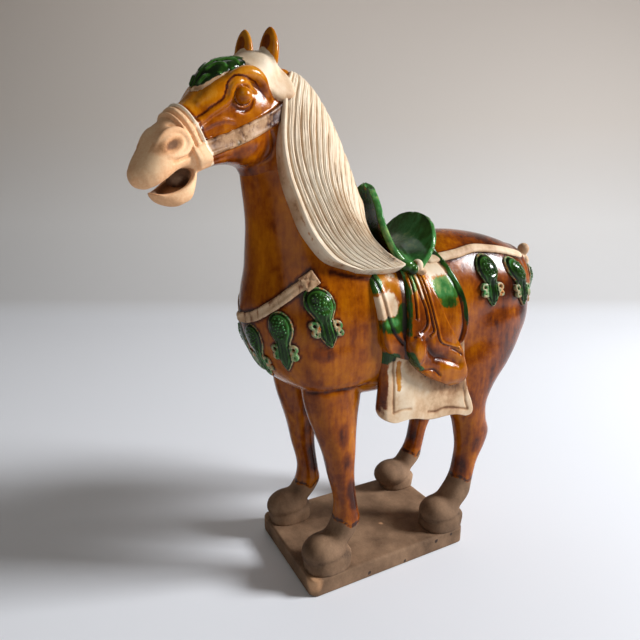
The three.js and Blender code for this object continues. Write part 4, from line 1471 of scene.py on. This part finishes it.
def paint_apron(points, out):
    y, z = points[:, 1], points[:, 2]
    glaze, flow_and_painted_light = plain_amber(points)
    band = line_weight(y, z, APRON_BAND, 3.6)
    green = patches(y, z, APRON_GREEN) + 1.2 * band * soft_step(z, 202, 214)
    glaze[:, 0] = np.clip(green, 0, 1)
    glaze[:, 1] = np.clip(patches(y, z, APRON_CREAM), 0, 1) * (1 - glaze[:, 0])
    cut = line_weight(y, z, APRON_CUT, 1.2)
    inner = line_weight(y, z, moved(APRON_BAND, -5), 1.2)
    flow_and_painted_light[:, 0] = np.clip(0.9 * cut + 0.8 * inner + 0.4 * band * (1 - soft_step(z, 225, 250)), 0, 1)
    flow_and_painted_light[:, 1] = np.clip(patches(y, z, APRON_THIN), 0, 1)
    # Painted shadow in the gap beside the cover
    flow_and_painted_light[:, 2] = 1.2 * line_weight(y, z, APRON_GAP_SHADOW, 2.6)
    return glaze, flow_and_painted_light


# %% Cover: a fan of folds over a gathered pouch
FOLDS = [[(12.5, 254), (15.5, 238), (20, 222), (20, 211), (15, 206.5), (6, 203)],
         [(18, 254), (20.5, 236), (25.5, 215), (26.5, 205), (23, 202.5)],
         [(21, 252), (25, 230), (30, 210), (34, 196), (44, 191.5), (54, 188)],
         [(9, 255), (10, 236), (10, 218)]]
CREASES = [[(20, 199), (22, 191), (28, 185), (40, 181), (55, 174)],
           [(46, 189), (52, 186), (58, 182)],
           [(16, 174), (28, 172.5), (34, 167)]]


def cover_relief(y, z):
    lift = 0.8 * line_weights(y, z, FOLDS, 1.2, 1.8) - 1.2 * line_weights(y, z, FOLDS, 0.55)
    lift -= 2.0 * line_weight(y, z, CREASES[0], 3.6) + 1.2 * line_weight(y, z, CREASES[1], 1.0)
    lift -= 1.1 * line_weight(y, z, CREASES[2], 1.2)
    lift += 3.0 * patch(y, z, (11, 193), (7, 11)) + 1.0 * patch(y, z, (48, 166), (16, 9))
    return lift * soft_step(z, 262, 250)


def paint_cover(points, out):
    y, z = points[:, 1], points[:, 2]
    glaze, flow_and_painted_light = plain_amber(points)
    streak = line_weight(y, z, [(5, 262), (5, 235), (4, 216), (3, 206)], 3.0)
    top = line_weight(y, z, [(12, 262), (12, 246), (12, 236)], 3.0)
    hem = line_weight(y, z, [(3, 190), (9, 181), (16, 175)], 2.2)
    glaze[:, 0] = np.clip(0.8 * streak + 0.8 * top * soft_step(z, 232, 244) + hem, 0, 1)
    pale = line_weight(y, z, [(15, 262), (17, 246), (18, 234)], 1.2)
    glaze[:, 1] = 0.9 * pale * (1 - glaze[:, 0])
    folds = line_weights(y, z, FOLDS, 0.55) + 0.8 * line_weight(y, z, CREASES[0], 2.0)
    folds += line_weights(y, z, CREASES[1:], 0.8)
    flow_and_painted_light[:, 0] = np.clip(0.65 * folds + 0.3 * patch(y, z, (30, 184), (16, 8)), 0, 1)
    # Thin glaze pales the fold ridges and the top; the pale spot on the pouch's bulge is a painted
    # highlight
    pale_glaze_and_highlight = 0.45 * line_weights(y, z, FOLDS, 1.2, 2.2) + 0.7 * top
    pale_glaze_and_highlight += 0.5 * patch(y, z, (10, 192), (5, 8)) + 0.4 * soft_step(z, 238, 254)
    flow_and_painted_light[:, 1] = np.clip(pale_glaze_and_highlight, 0, 1) * (1 - flow_and_painted_light[:, 0])
    return glaze, flow_and_painted_light


# %% Lay the cloths on both sides
for side in (1, -1):
    cloth("blanket", BLANKET, side, 5.5, blanket_relief, paint_blanket, blanket_wave)
    cloth("apron", APRON, side, 9.0, apron_relief, paint_apron)
    cloth("cover", COVER, side, 12.0, cover_relief, paint_cover)


# %% Knots of the covers
# Each ball of a near knot: its middle, its half sizes and its fillet
KNOT = [((49.5, 7, 260.5), (5.4, 6.6, 5.4), 1), ((50.5, 12, 257), (5.4, 5, 5), 1),
        ((49, 18.5, 259.5), (5.2, 4.6, 5.6), 0.8), ((50, 22.5, 254.5), (4.2, 3.8, 3.0), 0.8)]
# Each groove: its path, its radius and its fillet
KNOT_GROOVES = [([(58, 14, 268), (57.5, 15.5, 260), (56, 16, 252)], 1.4, 1.2),
                ([(57, 3, 264), (57.5, 9, 259), (57, 12, 252)], 1.0, 1.0)]


def paint_knot(points, out):
    y, z = points[:, 1], points[:, 2]
    glaze, flow_and_painted_light = plain_amber(points)
    glaze[:, 0] = soft_step(y, 17.5, 13.5)
    glaze[:, 1] = soft_step(y, 13.5, 17.5)
    flow_and_painted_light[:, 0] = 0.45 * soft_step(z, 260, 254)
    flow_and_painted_light[:, 1] = 0.5 * soft_step(z, 261, 265)
    return glaze, flow_and_painted_light


knots = Clay()
for side in (1, -1):
    flip = np.array([side, 1, 1])
    for middle, half, fillet in KNOT:
        knots.add(ball(flip * middle, half), fillet)
    for path, radius, fillet in KNOT_GROOVES:
        knots.cut(rope(flip * path, radius), fillet)
clay_piece("cover_knots", knots, glazed_earthenware, paint_knot)

# %% [markdown]
# ## Straps and pendants
# The breast strap and the crupper are rolled strips with a raised rim. From them hang leaf
# pendants, each pressed in its own small mould: a granulated head in a rim, a fluted stem, open
# scrolls to each side and a point. A height over the trunk at each place draws all of these.

# %% Straps
TRUNK_MIDDLE = {"chest": -66.0, "rump": 92.0}
BREAST_STRAP = [(-74, 253), (-60, 246), (-42, 235), (-22, 225), (0, 221),
                (22, 225), (42, 235), (60, 246), (74, 253)]
CRUPPER = [(36, 262), (58, 266), (88, 269.5), (120, 268), (150, 262), (178, 250)]
# Each pendant: where, the angle from the front, its top, its lean and its share of full width
PENDANTS = [("chest", 79, 249, 15, 1), ("chest", 46, 231, 9, 0.8), ("chest", 15, 218, 3, 0.9),
            ("rump", 97, 266, 8, 1), ("rump", 133, 262, 8, 1), ("rump", 163, 252, 3, 1)]
STRAP_HALF = 4.5
# Where the breast strap ends in a plaque, a place just before that, and the plaque's half sizes
PLAQUE_AT, BEFORE_PLAQUE, PLAQUE_HALF = (74, 253), (66, 249), (6.2, 5.8)
STRAP_JOINS = ((26, 226.4), (29, 228))


def round_trunk(middle, angle, height):
    """Where a ray from the trunk's middle leaves it, at an angle from the front."""
    turn = math.radians(angle)
    ray = np.array([math.sin(turn), -math.cos(turn), 0])
    inner = np.array([0, TRUNK_MIDDLE[middle], height])
    near, far = 0.0, 130.0
    for _ in range(26):
        reach = (near + far) / 2
        if body.distance((inner + ray * reach)[None])[0] < 0:
            near = reach
        else:
            far = reach
    return inner + ray * near


straps = Clay()
chest_line = through_points([(*p, 0) for p in BREAST_STRAP], 33)
chest_line = [round_trunk("chest", a, h) for a, h, _ in chest_line]
strap_lines = [rope(chest_line, STRAP_HALF, 60)]
straps.add(raised(body, rimmed(2.1, 0.9, 2.0), strap_lines[0]), 0.3)
for side in (1, -1):
    line = [round_trunk("rump", side * a, h) for a, h in CRUPPER]
    strap_lines.append(rope(line, STRAP_HALF, 60))
    straps.add(raised(body, rimmed(2.3, 0.8, 2.2), strap_lines[-1]), 0.3)
    plaque, before = (round_trunk("chest", side * a, h) for a, h in (PLAQUE_AT, BEFORE_PLAQUE))
    along = (plaque - before) / np.linalg.norm(plaque - before)
    upward = Z - along * along[2]
    upward /= np.linalg.norm(upward)
    block = Form(lambda p, m=plaque, a=along, b=upward: np.maximum(
        np.abs((p - m) @ a) - PLAQUE_HALF[0], np.abs((p - m) @ b) - PLAQUE_HALF[1]),
        plaque - 10, plaque + 10)
    strap_lines.append(block)
    straps.add(raised(body, even(3.4), block, 0.8), 0.3)
    for tilt in (1, -1):
        ends = np.array([plaque + 4 * (along * k + upward * k * tilt) for k in (-1, 0, 1)])
        straps.cut(rope(cling(ends, body, -3.5), 0.7), 0.4)
    for angle, height in STRAP_JOINS:
        join = round_trunk("chest", side * angle, height)
        outward = join - [0, TRUNK_MIDDLE["chest"], height]
        outward *= 3.4 / np.linalg.norm(outward)
        straps.cut(rope([join + outward + [0, 0, 5], join + outward - [0, 0, 5]], 0.6), 0.3)


def paint_straps(points, out):
    y = points[:, 1]
    glaze, flow_and_painted_light = plain_amber(points)
    chest = soft_step(y, 0, -20)
    height = body.distance(points)
    glaze[:, 1] = 1 - 0.3 * chest - 0.6 * soft_step(height, 2.0, 0.9)
    # Darker at the low edges next to the body: partly pooled glaze, partly painted shade
    flow_and_painted_light[:, 0] = np.clip(0.2 * chest + 0.1 + 0.6 * soft_step(height, 1.8, 0.8), 0, 1)
    return glaze, flow_and_painted_light


clay_piece("straps", straps, glazed_earthenware, paint_straps)

# %% Pendants
PENDANT_LENGTH = 54.0
PENDANT_SCALE = 0.88


def pendant_places(middle, angle, top, lean, wide, side):
    """How far points are across and down a pendant, in millimetres."""
    heights = np.linspace(top + 6, top - PENDANT_LENGTH - 6, 24)
    angles = side * (angle + lean * (top - heights) / PENDANT_LENGTH)
    spine = np.array([round_trunk(middle, a, h) for a, h in zip(angles, heights)])
    ahead = np.array([round_trunk(middle, a + 0.5, h) for a, h in zip(angles, heights)])
    across = ahead - spine
    across /= np.linalg.norm(across, axis=1, keepdims=True)
    order = heights[::-1]

    def places(points):
        z = points[:, 2]
        x0, y0, ax, ay = (np.interp(z, order, column[::-1]) for column in (
            spine[:, 0], spine[:, 1], across[:, 0], across[:, 1]))
        reach = (points[:, 0] - x0) * ax + (points[:, 1] - y0) * ay
        return reach / wide, (top - z) / PENDANT_SCALE

    return places, spine


def pendant_outline(a, w):
    """Distance to the pendant's outline in its own plane, the height inside it, and its rings."""
    a = np.abs(a)
    head = (np.hypot(a / 12.2, (w - 14) / 13.4) - 1) * 11.5
    stem = a - np.interp(w, [16, 20, 24, 28, 32, 37, 42, 46, 49, 52, 55],
                         [11.5, 10.6, 9.2, 7.6, 6.6, 6.8, 7.6, 6.4, 4.8, 3, 0.4])
    stem = np.maximum(stem, np.maximum(16 - w, w - 54.5))
    outline = soft_minimum(head, stem, 2.5)
    inner = np.clip(-(outline + 1.5) / 8, 0, 1)
    dome = 2.4 + 2.9 * np.sqrt(inner) * soft_step(w, 34, 22) + 1.2 * np.sqrt(inner)
    flutes = 0.9 * np.cos(a * 2 * math.pi / 3.6) * soft_step(w, 24, 30) * soft_step(w, 56, 48)
    contour = 0.5 * bell(outline + 3.0, 0.6)
    height = np.where(outline > -1.3, 1.9, dome + flutes - contour)
    rings = np.full(np.shape(a), 9.0)
    for centre_a, centre_w, radius in ((9.4, 34, 2.9), (9.8, 41, 2.2)):
        ring = np.abs(np.hypot(a - centre_a, w - centre_w) - radius) - 1.3
        rings = np.minimum(rings, ring)
    height = np.where((rings < 1) & (outline > -1.5), 3.2, height)
    return soft_minimum(outline, rings, 0.6), height, outline


def pendant(*place):
    places, spine = pendant_places(*place)

    def distance(points):
        outline, height, _ = pendant_outline(*places(points))
        above = body.distance(points)
        plate = -soft_minimum(height - above, -outline, 0.7)
        return np.maximum(plate, -2.5 - above)

    pad = np.array([15, 15, 0])
    form = Form(distance, spine.min(0) - pad, spine.max(0) + pad)
    form.places = places
    return form


drops = Clay()
pendants = [pendant(*place, side) for side in (1, -1) for place in PENDANTS]
for form in pendants:
    drops.add(form, 0.2)


def paint_pendants(points, out):
    glaze, flow_and_painted_light = plain_amber(points)
    glaze[:, 0] = 1
    height = body.distance(points)
    for form in pendants:
        close = form.near(points, 2)
        whole, _, _ = pendant_outline(*form.places(points[close]))
        close[close] = whole < 1.2
        _, _, outline = pendant_outline(*form.places(points[close]))
        edge = soft_step(outline, -1.4, -0.8)
        groove, contour = bell(outline + 1.7, 0.6), bell(outline + 2.9, 0.55)
        foot = soft_step(height[close], 1.2, 0.4)
        glaze[close, 0] = 1 - 0.45 * edge
        glaze[close, 1] = 0.6 * edge
        flow_and_painted_light[close, 1] = np.clip(0.45 * contour + 0.4 * edge - foot, 0, 1)
        # Darker in the groove and at the foot; at the foot next to the body that is partly pooled
        # glaze, partly painted shade
        flow_and_painted_light[close, 0] = np.clip(0.8 * groove + 0.8 * foot + 0.25 * soft_step(
            outline, -3.6, -4.6), 0, 1)
    return glaze, flow_and_painted_light


clay_piece("pendants", drops, glazed_earthenware, paint_pendants)

# %% Glaze that pooled on the body beside the straps and pendants, with painted shade there
def table_places(mesh):
    """A mesh's points, from scene metres back to table millimetres."""
    places = np.zeros(len(mesh.vertices) * 3, np.float32)
    mesh.vertices.foreach_get("co", places)
    return (places.reshape(-1, 3) / MM - [0, 0, SLAB_THICKNESS]) / unit


body_points = table_places(horse_body.data)
# Darker beside the straps and pendants: partly pooled glaze, partly painted shade at their edges
pool_and_shade = near_any(strap_lines, body_points, 0.3, 2.6)
for form in pendants:
    close = form.near(body_points, 3)
    whole, _, _ = pendant_outline(*form.places(body_points[close]))
    pool_and_shade[close] = np.maximum(pool_and_shade[close], soft_step(whole, 2.4, 0.4))
body_flow = horse_body.data.attributes["flow_and_painted_light"].data
flow_values = np.zeros(len(body_points) * 4, np.float32)
body_flow.foreach_get("color", flow_values)
flow_values[::4] = np.maximum(flow_values[::4], 0.75 * pool_and_shade)
body_flow.foreach_set("color", flow_values)
print("points of the body in pooled glaze:", int((pool_and_shade > 0.5).sum()))


# %% Geometry Nodes: the pendants' granulated heads
def granulated(name):
    """Round grains strewn over a surface, no two nearer than a spread."""
    tree, given = nodes_tree(name, [
        ("Grain size", "NodeSocketFloat", 0.0009), ("Spread", "NodeSocketFloat", 0.0020),
        ("Seed", "NodeSocketInt", 4), ("Clay", "NodeSocketMaterial", None)])
    strewn = add_node(tree, "GeometryNodeDistributePointsOnFaces", {
        "Mesh": given["Geometry"], "Distance Min": given["Spread"], "Seed": given["Seed"],
        "Density Max": 900000.0}, distribute_method="POISSON")
    grain = add_node(tree, "GeometryNodeMeshIcoSphere", {
        "Radius": given["Grain size"], "Subdivisions": 2})
    size = add_node(tree, "FunctionNodeRandomValue", {
        "Seed": given["Seed"], 2: 0.8, 3: 1.15}, data_type="FLOAT")
    grains = add_node(tree, "GeometryNodeInstanceOnPoints", {
        "Points": strewn.outputs["Points"], "Instance": grain.outputs["Mesh"],
        "Rotation": strewn.outputs["Rotation"], "Scale": size.outputs[1]})
    finish_tree(tree, grains.outputs["Instances"], given["Clay"])
    return tree


# A plate's points start this far outside the body, and end this far under the pendant's skin
PLATE_OUT, PLATE_SINK = 6.0, 0.35
PLATE_ROWS, PLATE_COLUMNS = 14, 12


def head_plate(middle, angle, top, lean, wide, side):
    """A small grid of points over the inside of a pendant's head, just under its dome."""
    down = np.linspace(4.5, 23.5, PLATE_ROWS)
    share = np.linspace(-1, 1, PLATE_COLUMNS)
    half = 7.8 * wide * np.sqrt(np.maximum(1 - ((down - 14) / 10.4) ** 2, 0.02))
    rows = []
    for fall, reach in zip(down * PENDANT_SCALE, half):
        height, turn = top - fall, side * (angle + lean * fall / PENDANT_LENGTH)
        centre = round_trunk(middle, turn, height)
        ahead = round_trunk(middle, turn + 0.5, height) - centre
        outward = centre - [0, TRUNK_MIDDLE[middle], height]
        rows.append(centre + PLATE_OUT * outward / np.linalg.norm(outward) + np.outer(
            share * reach, ahead / np.linalg.norm(ahead)))
    points = cling(np.concatenate(rows), drops, PLATE_SINK)
    faces = quads(np.arange(len(points)).reshape(PLATE_ROWS, PLATE_COLUMNS))
    # Only faces whose points all came to rest on the pendant are kept
    landed = (np.abs(drops.distance(points) + PLATE_SINK) < 0.2) & (body.distance(points) < 8)
    sides = np.linalg.norm(points[faces] - points[np.roll(faces, 1, axis=1)], axis=2)
    return points, faces[landed[faces].all(1) & (sides.max(1) < 4)]


plates = [head_plate(*place, side) for side in (1, -1) for place in PENDANTS]
count = np.cumsum([0] + [len(points) for points, _ in plates[:-1]])
plate_points = np.concatenate([points for points, _ in plates])
plate_faces = np.concatenate([faces + first for (_, faces), first in zip(plates, count)])
grain_mesh = grown(new_mesh("pendant_grains", plate_points, plate_faces, glazed_earthenware),
                   granulated("granulated_heads"), {"Clay": glazed_earthenware})
grain_mesh.name = "pendant_grains"
grain_glaze, grain_flow = plain_amber(grain_mesh.vertices)
grain_glaze[:, 0] = 1
grain_flow[:, 1] = 0.35
brush_on(grain_mesh, (grain_glaze, grain_flow))
grain_mesh.polygons.foreach_set("use_smooth", np.ones(len(grain_mesh.polygons), bool))
new_piece("pendant_grains", grain_mesh)

# %% Tail knot
# Each ball: its middle and its half sizes
TAIL_BALLS = [((0, 184, 254), (6.5, 13, 6)), ((0, 197, 262), (6, 6, 6.5)),
              ((0, 198, 250), (6.5, 5, 6.5))]
tail = Clay()
for place, half in TAIL_BALLS:
    tail.add(ball(place, half), 2)


def paint_tail(points, out):
    glaze, flow_and_painted_light = plain_amber(points)
    glaze[:, 1] = 1
    flow_and_painted_light[:, 0] = 0.35
    return glaze, flow_and_painted_light


clay_piece("tail_knot", tail, glazed_earthenware, paint_tail)

# %% [markdown]
# ## The slab
# The plinth is a slab of the same clay, cut with a knife and left bare.

# %% Slab
SLAB_LENGTH, SLAB_WIDTH, SLAB_CORNER = 168.0, 114.0, 8.0


def slab_distance(points):
    """A box with rounded upright corners and slightly worn edges."""
    half = np.array([SLAB_WIDTH / 2, SLAB_LENGTH / 2])
    q = np.abs(points[:, :2]) - half + SLAB_CORNER
    plan = np.hypot(np.maximum(q[:, 0], 0), np.maximum(q[:, 1], 0)) - SLAB_CORNER
    plan += np.minimum(np.maximum(q[:, 0], q[:, 1]), 0)
    rise = np.abs(points[:, 2] + SLAB_THICKNESS / 2) - SLAB_THICKNESS / 2
    return -soft_minimum(-plan, -rise, 1.6)


slab = Clay().add(Form(slab_distance, (-57, -84, -16), (57, 84, 0)))

# Pinholes in the slab's near side, and their size
PINHOLES = [(57, -27, -11), (57, 12.4, -13), (57, 48.5, -4.4), (57, 67, -3)]


def paint_bare(points, out):
    glaze, flow_and_painted_light = plain_amber(points)
    glaze[:, 2] = 1
    for hole in PINHOLES:
        flow_and_painted_light[:, 2] += soft_step(np.linalg.norm(points - hole, axis=1), 2.4, 1.0)
    worn = soft_step(np.linalg.norm(points - [55, -82, -4], axis=1), 11, 4)
    flow_and_painted_light[:, 1] = np.maximum(0.6 * worn, soft_step(
        np.linalg.norm(points - [14.5, 14, 0], axis=1), 2.2, 1.0))
    return glaze, flow_and_painted_light


clay_piece("plinth", slab, glazed_earthenware, paint_bare)

# %% [markdown]
# ## The studio
# The horse stands on pale paper that curves up behind it. A window to the right lights it from
# a low angle, so tops are no brighter than sides, and the rest of the room is dim, which keeps
# the amber deep: a pale room all round would lie on the gloss as a grey veil.

# %% Paper sweep and light
BEHIND = np.array([-math.sin(CAMERA_AZIMUTH), math.cos(CAMERA_AZIMUTH), 0.0])
ALONG = np.array([math.cos(CAMERA_AZIMUTH), math.sin(CAMERA_AZIMUTH), 0.0])


def paper_sweep(behind=0.95, bend=0.5, tall=2.4, wide=6.0):
    """Flat in front of the bend, then a quarter turn, then upright."""
    paper = bpy.data.materials.new("pale_paper")
    paper.use_nodes = True
    tree = paper.node_tree
    shader = tree.nodes["Principled BSDF"]
    shader.inputs["Roughness"].default_value = 0.9
    place = add_node(tree, "ShaderNodeTexCoord").outputs["Object"]
    height = add_node(tree, "ShaderNodeSeparateXYZ", {"Vector": place}).outputs["Z"]
    # Palest on the floor and painted darker just above it and up the wall: painted shade where the
    # light falls off
    tone = set_stops(add_node(tree, "ShaderNodeValToRGB", {"Fac": height}), [
        (0.0, "#e9ecf1"), (0.03, "#d6d6d6"), (0.25, "#dcdad7"), (0.6, "#d0c8bf"),
        (1.0, "#c2b8ae")])
    tree.links.new(tone, shader.inputs["Base Color"])
    profile = [(-4.0, 0.0), (behind, 0.0)]
    for turn in np.linspace(0, math.pi / 2, 24)[1:]:
        profile.append((behind + bend * math.sin(turn), bend * (1 - math.cos(turn))))
    profile.append((behind + bend, tall))
    corners = [tuple(BEHIND * away + ALONG * side * wide / 2 + Z * up)
               for away, up in profile for side in (-1, 1)]
    faces = [(k, k + 1, k + 3, k + 2) for k in range(0, len(corners) - 2, 2)]
    mesh = bpy.data.meshes.new("paper_sweep")
    mesh.from_pydata(corners, [], faces)
    mesh.polygons.foreach_set("use_smooth", [True] * len(faces))
    mesh.materials.append(paper)
    sweep = bpy.data.objects.new("paper_sweep", mesh)
    bpy.context.scene.collection.objects.link(sweep)


def soft_box(name, place, aim, size, power, colour="#ffffff", spread=180):
    """A rectangular lamp. A grid in front of it narrows the spread of its light, in degrees."""
    lamp = bpy.data.lights.new(name, "AREA")
    lamp.shape = "RECTANGLE"
    lamp.size, lamp.size_y = size
    lamp.energy = power
    lamp.color = linear(colour)[:3]
    lamp.spread = math.radians(spread)
    holder = bpy.data.objects.new(name, lamp)
    holder.location = place
    turn = Vector(aim) - Vector(place)
    holder.rotation_euler = turn.to_track_quat("-Z", "Y").to_euler()
    bpy.context.scene.collection.objects.link(holder)


paper_sweep()
world = bpy.data.worlds.new("dim_room")
bpy.context.scene.world = world
world.use_nodes = True
world.node_tree.nodes["Background"].inputs["Color"].default_value = linear("#8e8880")
world.node_tree.nodes["Background"].inputs["Strength"].default_value = 0.31
soft_box("window", (1.05, 1.9, 1.35), (0, 0, 0.2), (0.6, 0.7), 46, "#fbfcff", 130)
soft_box("reflector", (1.3, -0.7, 0.8), (0, 0, 0.25), (1.0, 0.8), 1.8)
soft_box("backdrop_light", (-0.9, 0.1, 1.6), (-1.5, 0.2, 0.3), (1.0, 1.0), 3)
print("lamps:", [lamp.name for lamp in bpy.data.lights])
